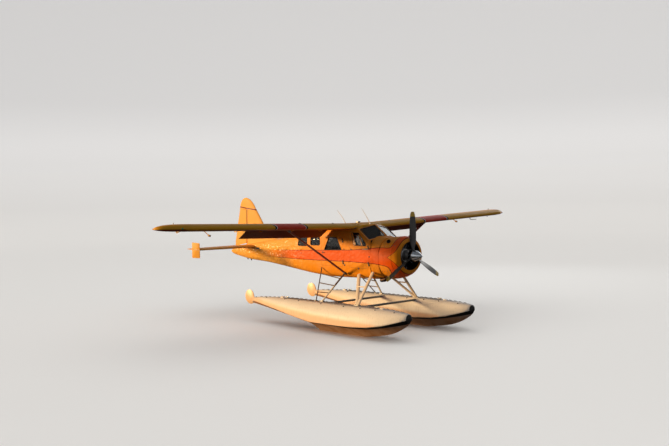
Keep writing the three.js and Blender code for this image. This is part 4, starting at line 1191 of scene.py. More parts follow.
def make_fin_and_rudder():
    foil = rounded_foil(TAIL_FOIL)
    rear = TAIL["rudder_x"] + 0.06
    top = TAIL["horn_z"] - SKIN_GAP
    shape = smooth_table([(-0.9, -3.9, 0.052), (-0.56, -4.3, 0.05), (-0.42, -4.85, 0.046),
        (-0.3, -5.035, 0.044), (0.1, -5.36, 0.037), (top, -5.64, 0.032)])
    rows = [(z, shape(z)[0], rear, shape(z)[1]) for z in [*spread(-0.9, -0.3, 19), *spread(-0.25, top, 8)]]
    fin = column(rows, foil)
    # The fin stops inside the body's skin.
    carve(fin, loft([body_ring(smooth_table(TAIL_ROWS), x, 0.006)
        for x in spread(TAIL_ROWS[0][0], TAIL_ROWS[-1][0], 40)]))
    brackets = [block((rear + 0.012, TAIL["rudder_x"] - 0.014), (-0.016, 0.016), zs)
        for zs in ((top - 0.022, top), (-0.86, TAIL["foot_z"]))]
    fit("fin_skin", [fin, *brackets], TAIL_PAINT, "gold_paint", "fin")

    def rear_of(z):
        return -6.91 + (z + 0.9) * 0.243

    blade_foil = rounded_foil([(0, 0), (0.02, 0.6), (0.08, 0.95), (0.3, 0.8), (0.7, 0.4), (1, 0.08)], 18)
    front = TAIL["rudder_x"] + 0.042
    foot = TAIL["foot_z"]
    blade = column([(foot + 0.02, front, rear_of(foot), 0.04), (-0.2, front, rear_of(-0.2), 0.036),
        (top - 0.032, front, rear_of(TAIL["horn_z"]), 0.03)], blade_foil)
    wedge = loft([[place(lead, h, z), place(end, 0.004, z), place(end, -0.004, z), place(lead, -h, z)]
        for z, lead, end, h in ((foot + 0.02, -6.25, -6.86, 0.014), (-0.866, -6.73, -6.89, 0.006))])
    # The horn. Columns: z, leading edge x, rear edge x, half thickness.
    horn_shape = smooth_table([(0.45, -5.645, rear_of(0.45), 0.033), (0.61, -5.77, -6.538, 0.028),
        (0.73, -5.905, -6.462, 0.022), (0.805, -6.04, -6.375, 0.014), (0.84, -6.18, -6.27, 0.005)])
    horn_foil = rounded_foil(TAIL_FOIL[:6] + [(0.8, 0.45), (1, 0.1)], 20)
    horn = column([(z, *horn_shape(z)) for z in spread(0.45, 0.84, 12)], horn_foil)
    web = column([(z, TAIL["rudder_x"] - 0.03, rear_of(TAIL["horn_z"]), 0.026)
        for z in (TAIL["horn_z"] - 0.045, TAIL["horn_z"] + 0.005)], [(0, 0.8), (0.5, 0.6), (1, 0.1)])
    posts = [sweep([place(TAIL["rudder_x"], 0, a), place(TAIL["rudder_x"], 0, b)], 0.01)
        for a, b in ((top + SEAM, 0.454), (foot + SEAM, foot + 0.025))]
    rudder = joined("rudder_skin", blade, wedge, horn, web, *posts)
    dress(rudder, TAIL_PAINT, "gold_paint", "rudder", body="rudder")


# Wings. Columns: span from the root, leading edge x, trailing edge x, thickness share.

WING_ROWS = [
    (-0.02, 0.0, -1.59, 1.0), (5.85, 0.0, -1.59, 1.0), (6.06, -0.09, -1.53, 0.97),
    (6.23, -0.22, -1.35, 0.9), (6.38, -0.34, -1.14, 0.78), (6.5, -0.46, -0.96, 0.6),
    (6.575, -0.57, -0.83, 0.4), (6.6, -0.64, -0.74, 0.2),
]
# Columns: share of the chord, upper and lower height as shares of the root chord.
AEROFOIL = [
    (0, 0, 0), (0.0125, 0.024, -0.016), (0.05, 0.046, -0.028), (0.15, 0.073, -0.04),
    (0.32, 0.084, -0.044), (0.5, 0.074, -0.04), (0.72, 0.046, -0.026), (1, 0.003, -0.002),
]
# Places as x and z from the hinge.
FLAP_SECTION = [
    (0.038, -0.006), (0.046, 0.022), (0.04, 0.07), (0.008, 0.114), (-0.12, 0.092),
    (-0.3, 0.05), (-0.468, 0.043), (-0.468, 0.035), (-0.3, 0.014), (-0.03, -0.008),
]
AILERON_SECTION = [
    (0.034, -0.02), (0.04, 0.01), (0.032, 0.044), (-0.006, 0.074), (-0.12, 0.052),
    (-0.3, 0.018), (-0.468, 0.002), (-0.468, -0.006), (-0.3, -0.022), (-0.02, -0.046),
]
FOIL_SHAPE = smooth_table([(sqrt(along), upper, lower) for along, upper, lower in AEROFOIL])


def in_wing(x, y, z):
    """A point of the wing's own frame, put on the aircraft."""
    lean, tip = radians(WING["incidence"]), radians(WING["dihedral"])
    nose, up = x * cos(lean) - z * sin(lean), x * sin(lean) + z * cos(lean)
    out, high = y * cos(tip) - up * sin(tip), y * sin(tip) + up * cos(tip)
    return place(nose, WING["root_y"] + out, WING["root_z"] + high)


def wing_height(x, above=True):
    """The height of the wing's top or underside, in the wing's own frame."""
    upper, lower = FOIL_SHAPE(sqrt(-x / WING["chord"]))
    return (upper if above else lower) * WING["chord"]


def wing_ring(y, lead, trail, share, level=False, steps=26):
    points = []
    for t in spread(0, 1, steps):
        points.append((t * t, FOIL_SHAPE(t)[0]))
    for t in reversed(spread(0, 1, steps)[1:]):
        points.append((t * t, FOIL_SHAPE(t)[1]))
    ring = []
    for along, height in points:
        x, z = lead + (trail - lead) * along, height * WING["chord"] * share
        if level:
            lean = radians(WING["incidence"])
            ring.append(place(x * cos(lean) - z * sin(lean), y, WING["root_z"] + x * sin(lean) + z * cos(lean)))
        else:
            ring.append(in_wing(x, y, z))
    return ring


def wing_block(xs, ys, zs):
    return loft([[in_wing(x, y, z) for x, z in oblong(xs, zs)] for y in ys])


def hinged_section(section, hinge_z, turn, radius=0.012):
    """A flap's or aileron's section about its hinge, its corners eased, turned down by degrees."""
    c, s = cos(radians(turn)), sin(radians(turn))
    nose = rounded(section, radius, 4)
    return [(WING["hinge_x"] + x * c - z * s, hinge_z + x * s + z * c) for x, z in nose]


def control_surface(section, span):
    rings = [[in_wing(x, y, z) for x, z in section] for y in spread(span[0] + SKIN_GAP, span[1] - SKIN_GAP, 5)]
    return loft(rings)


def hinge_stub(hinge_z, start, end):
    return sweep([in_wing(WING["hinge_x"], start, hinge_z), in_wing(WING["hinge_x"], end, hinge_z)], 0.014)


def make_wing(name, side):
    tip = smooth_table(WING_ROWS)
    spans = spread(-0.02, 5.8, 12) + spread(5.85, 6.6, 26)
    panel = loft([wing_ring(y, *tip(y)) for y in spans])
    for start, end in (WING["flap"], WING["aileron"]):
        carve(panel, wing_block((WING["rear_face"], -1.7), (start, end), (-0.3, 0.3)))
    panel = common(panel, block((-2.0, 0.2), (WING["root_y"], 8.0), (-0.4, 0.9)))
    panel.name = f"wing_skin_{name}"
    dress(mirror(panel, side), WING_PAINT, "gold_paint", f"wing_{name}")

    # The aileron carries a balance weight on an arm below the wing.
    y = WING["balance_y"]
    arm = sweep([in_wing(-1.33, y, -0.018), in_wing(-1.01, y, -0.185)], 0.011)
    body = ((-1.045, -0.18), (-1.036, -0.182), (-0.964, -0.194), (-0.955, -0.196))
    weight = sweep([in_wing(x, y, z) for x, z in body], [0.016, 0.028, 0.028, 0.014], 20)
    for kind, section, droop, extras in (("flap", FLAP_SECTION, WING["flap_droop"], []),
            ("aileron", AILERON_SECTION, 0, [arm, weight])):
        height, (start, end) = WING[f"{kind}_hinge_z"], WING[kind]
        surface = control_surface(hinged_section(section, height, droop), WING[kind])
        stubs = [hinge_stub(height, start + 0.0005, start + 0.01), hinge_stub(height, end - 0.01, end - 0.0005)]
        whole = joined(f"{kind}_skin_{name}", surface, *extras, *stubs)
        dress(mirror(whole, side), FLAP_PAINT, "gold_paint", f"{kind}_{name}", body=f"{kind}_{name}")
    make_wing_fittings(name, side)


def make_wing_fittings(name, side):
    # Hinge brackets below the wing that carry the flap and the aileron.
    brackets = []
    for y in (0.55, 1.7, 2.85, 3.75, 5.7):
        low = wing_height(-0.95, False)
        outline = [(-0.8, low), (-1.02, low + 0.008), (-1.05, low - 0.02), (-1.03, low - 0.05),
            (-0.98, low - 0.05)]
        ring = [[in_wing(x, y + w, z) for x, z in rounded(outline, 0.015, 3)] for w in (-0.007, 0.007)]
        brackets.append(loft(ring))
    dress(mirror(joined(f"hinge_brackets_{name}", *brackets), side), GOLD_TRIM, "gold_paint")
    # A lamp in the wing tip's front edge.
    lens = LENS_RED if side > 0 else LENS_GREEN
    lamp = turned([(-0.05, 0.026), (0.0, 0.026), (0.014, 0.022), (0.022, 0.012), (0.025, 0.002)],
        in_wing(-0.115, 6.1, 0.004), (1.0, 0.42, 0.0), 20, name=f"tip_lamp_{name}")
    dress(mirror(lamp, side), lens, "panel_black")
    # A small post on the tip's top and a ring below it.
    post = turned([(-0.02, 0.014), (0.03, 0.013), (0.045, 0.01), (0.05, 0.002)], in_wing(-0.66, 6.03, 0.118),
        (0, 0, 1), 14)
    loop = sweep([in_wing(-0.64 + 0.024 * cos(a), 5.93, -0.09 + 0.024 * sin(a)) for a in circle(16)], 0.006, 8,
        looped=True)
    dress(mirror(joined(f"wing_tip_fittings_{name}", post, loop), side), DARK_STEEL, "strut_silver")
    # Fuel filler caps on top and round inspection covers below.
    caps = [turned([(-0.01, 0.05), (0.004, 0.05), (0.007, 0.044), (0.01, 0.02), (0.018, 0.016),
        (0.018, 0.002)], in_wing(x, y, wing_height(x)), (0, 0, 1), 24) for x, y in ((-0.34, 0.6), (-0.34, 1.9))]
    dress(mirror(joined(f"filler_caps_{name}", *caps), side), DARK_STEEL, "strut_silver")
    covers = [turned([(-0.004, 0.058), (0.001, 0.058), (0.002, 0.052), (0.002, 0.002)],
        in_wing(-0.86, y, wing_height(-0.86, False)), (0.02, 0.0, -1), 26) for y in (2.6, 3.6, 4.4, 5.4)]
    dress(mirror(joined(f"inspection_covers_{name}", *covers), side), WING_PAINT, "gold_paint")
    if side > 0:
        tube = sweep([in_wing(-0.14, 4.35, -0.05), in_wing(-0.13, 4.35, -0.095)]
            + [in_wing(x, 4.35, -0.115) for x in (-0.1, 0.0, 0.14)], [0.012, 0.012, 0.011, 0.01, 0.008],
            name="pitot_tube")
        dress(tube, DARK_STEEL, "strut_silver")


# Engine, cowl and propeller. Cowl columns: x, centre z, half width, half height.

COWL_ROWS = [
    (1.7, -0.868, 0.44, 0.44), (1.692, -0.869, 0.49, 0.49), (1.655, -0.872, 0.536, 0.538),
    (1.57, -0.884, 0.575, 0.582), (1.4, -0.914, 0.604, 0.614), (1.18, -0.945, 0.614, 0.628),
    (0.9383, -0.964, 0.606, 0.624),
]
COWL_INSIDE = [
    (1.72, -0.868, 0.424, 0.424), (1.655, -0.87, 0.424, 0.424), (1.61, -0.876, 0.545, 0.548),
    (1.4, -0.914, 0.584, 0.594), (1.18, -0.945, 0.594, 0.608), (0.92, -0.964, 0.586, 0.604),
]
EXHAUST_PATH = [(1.19, -0.285, -1.42), (1.08, -0.3, -1.52), (0.95, -0.32, -1.59), (0.8, -0.33, -1.615)]
VENT = (1.202, -0.395, -0.448)


def cowl_ring(shape, x, count=112, proud=0.0):
    middle, wide, high = shape(x)
    return [place(x, (wide + proud) * cos(a), middle + (high + proud) * sin(a)) for a in circle(count)]


def make_cowl():
    # The lip runs round in a half circle of its own.
    outer, inner = smooth_table(COWL_ROWS), smooth_table(COWL_INSIDE)
    back, lip = COWL_ROWS[-1][0], COWL_ROWS[0][0]
    xs = [back + (lip - back) * sin(t) for t in spread(0, pi / 2, 34)]
    skin = loft([cowl_ring(outer, x) for x in xs], name="cowl_skin")
    room = loft([cowl_ring(inner, x) for x in [0.92, *spread(0.98, 1.58, 10), 1.61, 1.64, 1.655, 1.7, 1.72]])
    pipe = sweep(curve_through([place(*p) for p in EXHAUST_PATH]), 0.065, 24)
    # An air vent looks out of the cowl's upper starboard side, a little forward.
    out = Vector((0.45, -0.75, 0.48)).normalized()
    hole = sweep([place(*VENT) - out * 0.13, place(*VENT) + out * 0.13], 0.066, 32)
    carve(skin, room, pipe, hole)
    dress(skin, BODY_PAINT, "gold_paint", "engine_cowl")
    # Painted shade: the cowl's inner faces are black, for the dark inside the cowl.
    face_finish(skin, BLACK_TRIM, lambda spot, normal: normal.dot(Vector((0, spot.y, spot.z + 0.9))) < -0.02
        and spot.x < 1.69)
    duct = [(-0.09, 0.001), (-0.09, 0.067), (0.02, 0.067), (0.026, 0.064), (0.026, 0.06), (0.02, 0.057),
        (-0.07, 0.055), (-0.07, 0.001)]
    vent = turned(duct, place(*VENT), out, 40, name="vent_duct")
    dress(vent, GOLD_TRIM, "gold_paint")
    # Painted shade: the duct's inner faces are black, for the dark inside the vent hole.
    face_finish(vent, BLACK_TRIM, lambda spot, normal: (spot - Vector(VENT)).cross(out).length < 0.0585)
    # The cowl's panels close with catches along two seams.
    catches = []
    for side in SIDES.values():
        for x in spread(1.02, 1.52, 6):
            middle, wide, high = outer(x)
            for a in (0.62, -0.62):
                spot = place(x, side * wide * cos(a), middle + high * sin(a))
                away = Vector((0, side * cos(a), sin(a)))
                catches.append(turned([(-0.003, 0.013), (0.003, 0.013), (0.005, 0.009), (0.005, 0.001)], spot,
                    away, 14))
    fit("cowl_catches", catches, DARK_STEEL, "strut_silver")
    # Bands that hold the cowl, fore and aft.
    for label, x in (("front", 1.47), ("rear", 0.962)):
        dress(sweep(cowl_ring(outer, x, 96, 0.001), 0.0045, 6, looped=True, name=f"cowl_band_{label}"),
            BODY_PAINT, "gold_paint")


def cooling_fins(start, pitch, count, root, rim, narrower):
    """A cylinder's profile over its fins, each of them narrower than the last by a little."""
    profile = []
    for step in range(count):
        low, wide = start + step * pitch, rim - narrower * step
        profile += [(low, root), (low + 0.001, wide), (low + 0.0045, wide), (low + 0.0055, root)]
    return profile


def make_engine():
    axis = place(0, 0, PROP["z"])
    case = turned([(0.9385, 0.02), (0.9385, 0.3), (1.15, 0.326), (1.18, 0.322), (1.205, 0.285), (1.23, 0.25),
        (1.395, 0.248), (1.415, 0.236), (1.45, 0.2), (1.47, 0.196), (1.48, 0.165), (1.56, 0.13),
        (1.585, 0.126), (1.59, 0.104), (1.64, 0.08), (1.64, 0.06), (1.6995, 0.058), (1.6995, 0.01)], axis,
        (1, 0, 0), 72, name="crankcase")
    dress(case, ENGINE_METAL, "engine_metal", "engine")
    barrels, heads, rods, leads = [], [], [], []
    for turn in circle(9):
        out = Vector((0, -sin(turn), cos(turn)))
        across = Vector((0, cos(turn), sin(turn)))
        centre = axis + Vector((1.31, 0, 0))
        profile = [(0.235, 0.07), *cooling_fins(0.25, 0.0135, 11, 0.07, 0.083, 0.0), (0.402, 0.07)]
        barrels.append(turned(profile, centre, out, 32))
        profile = [(0.398, 0.06), *cooling_fins(0.4, 0.0115, 8, 0.076, 0.094, 0.0022), (0.494, 0.06),
            (0.499, 0.04)]
        heads.append(turned(profile, centre, out, 32))
        for shift in (-0.048, 0.048):
            foot = axis + Vector((1.44, 0, 0)) + out * 0.2 + across * shift * 0.6
            top = centre + out * 0.47 + across * shift + Vector((0.078, 0, 0))
            rods.append(sweep([foot, top], 0.011, 10))
            rods.append(turned([(-0.03, 0.012), (-0.022, 0.026), (0.016, 0.028), (0.024, 0.016)],
                top - out * 0.008, out, 14))
        start = axis + Vector((1.5, 0, 0)) + out * 0.172 + across * 0.02
        plug = centre + out * 0.44 + Vector((0.088, 0, 0))
        leads.append(sweep(curve_through([start, start + out * 0.1 + Vector((0.012, 0, 0)),
            plug + Vector((0.012, 0, 0)), plug], 5), 0.0045, 8))
    fit("cylinder_barrels", barrels, FIN_METAL, "engine_metal")
    fit("cylinder_heads", heads, FIN_METAL, "engine_metal")
    fit("pushrod_tubes", rods, BLACK_TRIM, "engine_metal")
    fit("ignition_leads", leads, DARK_STEEL, "engine_metal")
    ring = round_ring(axis + Vector((1.5, 0, 0)), TO_PORT, UPWARD, 0.176, 48)
    dress(sweep(ring, 0.012, 10, looped=True, name="ignition_ring"), STRUT_SILVER, "engine_metal")
    nuts = [bolt(axis + Vector((1.592, cos(a) * 0.114, sin(a) * 0.114)), (1, 0, 0), 0.006) for a in circle(12)]
    fit("nose_case_nuts", nuts, DARK_STEEL, "engine_metal")


def make_exhaust():
    path = curve_through([place(*p) for p in EXHAUST_PATH])
    pipe = sweep(path, 0.062, 32, name="exhaust_tube")
    carve(pipe, sweep([place(0.765, -0.332, -1.621), place(0.89, -0.324, -1.6)], 0.055, 32))
    dress(pipe, EXHAUST_STEEL, "exhaust_steel", "exhaust_pipe")
    clamps = []
    for k in (9, 17):
        along = (path[k + 1] - path[k - 1]).normalized()
        across = along.orthogonal().normalized()
        ring = round_ring(path[k], across, along.cross(across), 0.0635, 32)
        clamps.append(sweep(ring, 0.0045, 6, looped=True))
    fit("exhaust_clamps", clamps, DARK_STEEL, "exhaust_steel")


# Columns: radius, chord, thickness, pitch in degrees.
BLADE_ROWS = [
    (0.06, 0.09, 0.09, 90), (0.19, 0.095, 0.08, 60), (0.42, 0.19, 0.034, 42), (0.8, 0.205, 0.02, 27),
    (1.15, 0.17, 0.013, 20), (1.27, 0.12, 0.009, 18), (1.295, 0.06, 0.006, 17),
]


def blade(turn, radii, extra=0.0):
    """One propeller blade over the given radii."""
    shape = smooth_table(BLADE_ROWS)
    rings = []
    for radius in radii:
        chord, thick, pitch = shape(radius)
        lean = radians(pitch)
        ring = []
        for a in circle(28):
            # Rounder in front than behind, flatter on the back face.
            along = cos(a) * 0.5 * (chord + extra)
            camber = (0.5 if sin(a) > 0 else 0.42) * (0.78 + 0.22 * cos(a))
            off = sin(a) * camber * (thick + extra)
            local = Vector((sin(lean) * along + cos(lean) * off, cos(lean) * along - sin(lean) * off, radius))
            ring.append(place(PROP["plane"], 0, PROP["z"]) + Matrix.Rotation(turn, 3, "X") @ local)
        rings.append(ring)
    return loft(rings)


def make_propeller():
    axis = place(0, 0, PROP["z"])
    hub = turned([(1.7, 0.02), (1.7, 0.086), (1.706, 0.09), (1.854, 0.09), (1.86, 0.086), (1.86, 0.02)], axis,
        (1, 0, 0), 40)
    turns = circle(PROP["blades"])
    dark = [blade(turn, spread(0.06, 1.15, 30)) for turn in turns]
    fit("propeller_blades", [hub, *dark], BLADE_BLACK, "blade_black", "propeller", body="propeller")
    tips = [blade(turn, [1.1502, *spread(1.16, 1.28, 8), 1.288, 1.293, 1.295]) for turn in turns]
    fit("propeller_tips", tips, BLADE_TIP, "blade_black", body="propeller")
    profile = [(1.728, 0.02), (1.728, 0.166), (1.731, 0.168)]
    bow = smooth_table([(1.731, 0.168), (1.86, 0.166), (1.96, 0.14), (2.05, 0.098), (2.12, 0.05),
        (2.16, 0.016), (2.17, 0.0)])
    profile += [(x, bow(x)[0]) for x in spread(1.735, 2.15, 26)] + [(2.16, 0.016), (2.167, 0.007),
        (2.17, 0.001)]
    cone = turned(profile, axis, (1, 0, 0), 64, name="spinner_shell")
    for turn in turns:
        carve(cone, blade(turn, spread(0.06, 0.3, 6), 0.006))
    dress(cone, SPINNER_METAL, "spinner_metal", "spinner", body="propeller")
    ring = round_ring(axis + Vector((1.738, 0, 0)), TO_PORT, UPWARD, 0.1685, 48)
    screws = [bolt(axis + Vector((1.752, cos(a) * 0.1675, sin(a) * 0.1675)), (0, cos(a), sin(a)), 0.004)
        for a in circle(12, 0.13)]
    fit("spinner_back_ring", [sweep(ring, 0.004, 8, looped=True), *screws], DARK_STEEL, "spinner_metal",
        body="propeller")


# Floats.

# Columns: share of the half beam, share of the depth from crest to chine.
DECK_SHAPE = smooth_table([(0.0, 0.0, 0.0), (0.24, 0.24, 0.0), (0.56, 0.55, 0.09), (0.9, 0.82, 0.3),
                           (1.25, 0.96, 0.62), (FLOAT["chine"], 1.0, 1.0)])
FORE_SHAPE, AFT_SHAPE = smooth_table(FORE_ROWS), smooth_table(AFT_ROWS)


def deck_point(shape, x, across, side, raised_by=0.0):
    """A place on a float's deck: across runs from 0 at the crest to FLOAT["chine"]."""
    beam, crest, chine, _ = shape(x)
    wide, down = DECK_SHAPE(min(abs(across), FLOAT["chine"]))
    return place(x, side * FLOAT["y"] + copysign(beam * wide, across),
        crest - (crest - chine) * down + raised_by)


def float_ring(shape, x):
    beam, crest, chine, keel = shape(x)
    keel_half = min(0.022, beam * 0.5)
    half = [(beam * DECK_SHAPE(t)[0], crest - (crest - chine) * DECK_SHAPE(t)[1])
        for t in spread(0.0, FLOAT["chine"], 20)]
    # The bottom is a shallow vee, hollowed towards the chine.
    for t in (0.12, 0.3, 0.5, 0.7, 0.88, 1.0):
        half.append((beam + (keel_half - beam) * t, chine + (keel - chine) * (t ** 1.12)))
    ring = half + [(-y, z) for y, z in reversed(half) if y > 0]
    return [place(x, y, z) for y, z in ring]


def make_float(name, side):
    def placed(made):
        for vertex in made.data.vertices:
            vertex.co.y += side * FLOAT["y"]
        return made

    fore = loft([float_ring(FORE_SHAPE, x) for x in spread(FLOAT["step"], FLOAT["nose"], 44)])
    aft = loft([float_ring(AFT_SHAPE, x) for x in spread(FLOAT["tail"], FLOAT["step"], 34)])
    hull = carve(fore, aft, how="UNION")
    hull.name = f"float_hull_{name}"
    for x in (1.85, -2.6):
        pad = rounded(oblong((x - 0.07, x + 0.07), (-0.04, 0.04)), 0.02)
        carve(hull, plate(pad, -2.42, -2.27, plane="xy"), how="UNION")
    dress(placed(hull), FLOAT_PAINT, "cream_paint", f"float_{name}")
    bow = loft([float_ring(FORE_SHAPE, x) for x in (2.8003, 2.82, 2.84, 2.86, 2.88, 2.9, 2.92, 2.935, 2.945,
        2.95)], name=f"bow_bumper_{name}")
    dress(placed(bow), RUBBER, "bumper_rubber", f"float_bumper_{name}")
    face_finish(bow, FLOAT_PAINT, lambda spot, normal: spot.x < 2.88)

    # Two thin non-slip strips lie on the deck.
    for label, shape, xs in (("fore", FORE_SHAPE, spread(-0.78, 1.7, 24)),
            ("aft", AFT_SHAPE, spread(-2.4, -0.84, 16))):
        rings = [[deck_point(shape, x, t, side, 0.003) for t in (-0.34, 0.0, 0.34)]
            + [deck_point(shape, x, t, side, -0.006) for t in (0.34, 0.0, -0.34)] for x in xs]
        dress(loft(rings, name=f"walkway_{label}_{name}"), DECK_GREY, "bumper_rubber")

    def chine_line(shape, xs, out, away, lift, radius, sides):
        path = [deck_point(shape, x, out * FLOAT["near_chine"], side) + Vector((0, out * away, lift))
            for x in xs]
        return sweep(path, radius, sides)

    # A spray rail runs along each chine at the bow, and a thinner strip behind it.
    rails = [chine_line(FORE_SHAPE, spread(0.9, 2.79, 30), out, 0.004, 0.012, 0.014, 10) for out in (1, -1)]
    seams = [chine_line(shape, xs, out, 0.001, 0.006, 0.007, 6) for out in (1, -1)
        for shape, xs in ((FORE_SHAPE, spread(-0.79, 0.9, 22)), (AFT_SHAPE, spread(-4.02, -0.81, 30)))]
    fit(f"spray_rails_{name}", rails, FLOAT_PAINT, "cream_paint")
    fit(f"chine_strips_{name}", seams, FLOAT_PAINT, "cream_paint")
    # Dark non-slip tabs along the crest.
    tabs = []
    for shape, starts in ((FORE_SHAPE, spread(-0.7, 2.5, 17)), (AFT_SHAPE, spread(-3.8, -1.0, 14))):
        for x in starts:
            path = [deck_point(shape, x + dx, 0.3, side, 0.004) for dx in (0.0, 0.05, 0.1)]
            tabs.append(sweep(path, 0.007, 6))
    fit(f"crest_tabs_{name}", tabs, DECK_GREY, "bumper_rubber")
    # Hatch covers with a small knob in the middle, and bilge pump plugs beside the walkway.
    hatches, plugs = [], []
    for shape, x in ((FORE_SHAPE, 2.1), (FORE_SHAPE, -0.3), (AFT_SHAPE, -1.25), (AFT_SHAPE, -3.05)):
        across = 0.62 if shape is FORE_SHAPE and x > 2 else 0.78
        spot = deck_point(shape, x, across, side)
        tilt = (deck_point(shape, x, across + 0.05, side)
            - deck_point(shape, x, across - 0.05, side)).normalized()
        up = Vector((1, 0, 0)).cross(tilt).normalized()
        up = up if up.z > 0 else -up
        hatches.append(turned([(-0.012, 0.09), (0.005, 0.09), (0.008, 0.084), (0.009, 0.02), (0.014, 0.016),
            (0.014, 0.001)], spot, up, 32))
    for shape, xs in ((FORE_SHAPE, (2.45, 1.75, 1.15, 0.45, -0.55)), (AFT_SHAPE, (-1.6, -2.3, -3.3, -3.9))):
        for x in xs:
            plugs.append(turned([(-0.01, 0.017), (0.01, 0.017), (0.018, 0.012), (0.02, 0.001)],
                deck_point(shape, x, -0.46, side), (0, 0, 1), 16))
    fit(f"hatch_covers_{name}", hatches, FLOAT_PAINT, "cream_paint")
    fit(f"pump_plugs_{name}", plugs, RUBBER, "bumper_rubber")
    # Mooring cleats stand beside their pads.
    cleats = []
    for shape, x in ((FORE_SHAPE, 1.62), (AFT_SHAPE, -2.38)):
        y = side * FLOAT["y"]
        crest = shape(x)[1]
        horn = curve_through([place(x - 0.085, y, crest + 0.046), place(x - 0.04, y, crest + 0.04),
            place(x + 0.04, y, crest + 0.04), place(x + 0.085, y, crest + 0.046)], 4)
        cleats.append(sweep(horn, [0.006] + [0.01] * (len(horn) - 2) + [0.006], 10))
        for dx in (-0.028, 0.028):
            cleats.append(turned([(-0.01, 0.014), (0.004, 0.013), (0.012, 0.009), (0.036, 0.009)],
                place(x + dx, y, crest), (0, 0, 1), 14))
    fit(f"mooring_cleats_{name}", cleats, DARK_STEEL, "strut_silver")
    make_water_rudder(name, side)


def make_water_rudder(name, side):
    pivot = (-4.11, -2.55)
    y = side * FLOAT["y"]
    outline = [(-4.07, -2.53), (-4.11, -2.6), (-4.21, -2.64), (-4.34, -2.645), (-4.46, -2.59), (-4.54, -2.49),
        (-4.555, -2.38), (-4.52, -2.27), (-4.43, -2.19), (-4.31, -2.165), (-4.19, -2.2), (-4.11, -2.29),
        (-4.085, -2.4), (-4.075, -2.5)]
    leaf = softened(plate(rounded(outline, 0.05), y - 0.01, y + 0.01), 0.004)
    boss = sweep([place(pivot[0], y - 0.018, pivot[1]), place(pivot[0], y + 0.018, pivot[1])], 0.016, 20)
    ribs = [sweep([place(-4.13, y + out, -2.5), place(-4.3, y + out, -2.44), place(-4.5, y + out, -2.36)],
        0.004, 8) for out in (-0.01, 0.01)]
    fit(f"water_rudder_leaf_{name}", [leaf, boss, *ribs], WARM_LIT_RUDDER_CREAM, "gold_paint", f"water_rudder_{name}",
        body=f"water_rudder_{name}")
    cheeks = []
    about_pivot = ((0.11, 0.05), (-0.005, 0.035), (-0.035, 0.0), (-0.005, -0.035), (0.11, -0.035))
    outline = rounded([(pivot[0] + a, pivot[1] + b) for a, b in about_pivot], 0.014)
    for out in (1, -1):
        cheeks.append(softened(plate(outline, y + out * 0.0183, y + out * 0.0323), 0.003))
        cheeks.append(bolt(place(pivot[0], y + out * 0.0323, pivot[1]), (0, out, 0), 0.008))
    fit(f"water_rudder_cheeks_{name}", cheeks, DARK_STEEL, "strut_silver")


# Struts and wires.

def make_struts(name, side):
    p = out_from(side)
    root, head = p(-0.44, 0.59, -1.49), p(-0.41, 2.96, -0.02)
    outside = ((-1, 1), (side * 0.6165, side * 4), (-2, 0.3))
    brace = common(bar(root, head, 0.135, 0.05, 36, name=f"wing_strut_bar_{name}"), block(*outside))
    dress(brace, STRUT_RED, "red_paint", f"wing_strut_{name}")
    # Dark cuffs cover its two ends.
    cuffs = [bar(root.lerp(head, 0.004), root.lerp(head, 0.045), 0.148, 0.064, 36),
        bar(root.lerp(head, 0.955), root.lerp(head, 0.988), 0.146, 0.06, 36)]
    cuffs[0] = common(cuffs[0], block(*outside))
    fit(f"wing_strut_cuffs_{name}", cuffs, DARK_STEEL, "strut_silver")


def rod_between(a, b, radius, sides):
    return sweep([a, a.lerp(b, 0.5), b], radius, sides)


def make_float_struts(name, side):
    p = out_from(side)
    legs = [bar(p(0.75, 1.3, -2.322), p(0.69, 0.56, -1.36), 0.13, 0.055, 32),
        bar(p(0.74, 1.3, -2.322), p(0.085, 0.56, -1.465), 0.13, 0.055, 32),
        bar(p(0.738, 0.87, -1.79), p(0.34, 0.87, -1.795), 0.04, 0.024, 20)]
    room = body_skin(CABIN_ROWS, 0.004, 0.4, 0.0, steps=20)
    for k in (0, 1):
        carve(legs[k], room, keep=True)
    fit(f"front_legs_{name}", legs, LEG_WHITE, "strut_silver", f"front_strut_{name}")

    def lean(share):
        return p(-0.56 - 0.23 * share, 0.56 + 0.727 * share, -1.48 - 0.8 * share)

    def rail(share):
        return p(-1.54 + 0.47 * share, 0.612 + 0.676 * share, -1.33 - 0.945 * share)

    leg = carve(bar(lean(0), lean(1.045), 0.08, 0.038, 32), room, keep=True)
    ladder = [rod_between(rail(0.012), rail(1.045), 0.016, 16)]
    ladder += [rod_between(rail(share), lean(share * 0.93), 0.016, 14) for share in (0.2, 0.48, 0.76)]
    leg.name = f"rear_leg_{name}"
    dress(leg, REAR_LEG, "strut_silver", f"rear_strut_{name}")
    fit(f"ladder_{name}", ladder, SHADED_LADDER_BROWN, "strut_silver", f"rear_strut_{name}")
    bpy.data.objects.remove(room)

    # Fittings where the struts meet the deck, each with its bolts.
    shoes = []
    for x, y, z, long in ((0.73, 1.285, -2.282, 0.13), (-0.795, 1.29, -2.286, 0.08),
            (-1.062, 1.3, -2.286, 0.05)):
        shoe = rounded(oblong((x - long, x + long), (side * y - 0.045, side * y + 0.045)), 0.03)
        shoes.append(softened(plate(shoe, z - 0.012, z + 0.012, plane="xy"), 0.004))
        for dx in (-long * 0.72, long * 0.72):
            shoes.append(bolt(place(x + dx, side * y, z + 0.012), (0, 0, 1), 0.009))
    fit(f"deck_fittings_{name}", shoes, DARK_STEEL, "strut_silver")


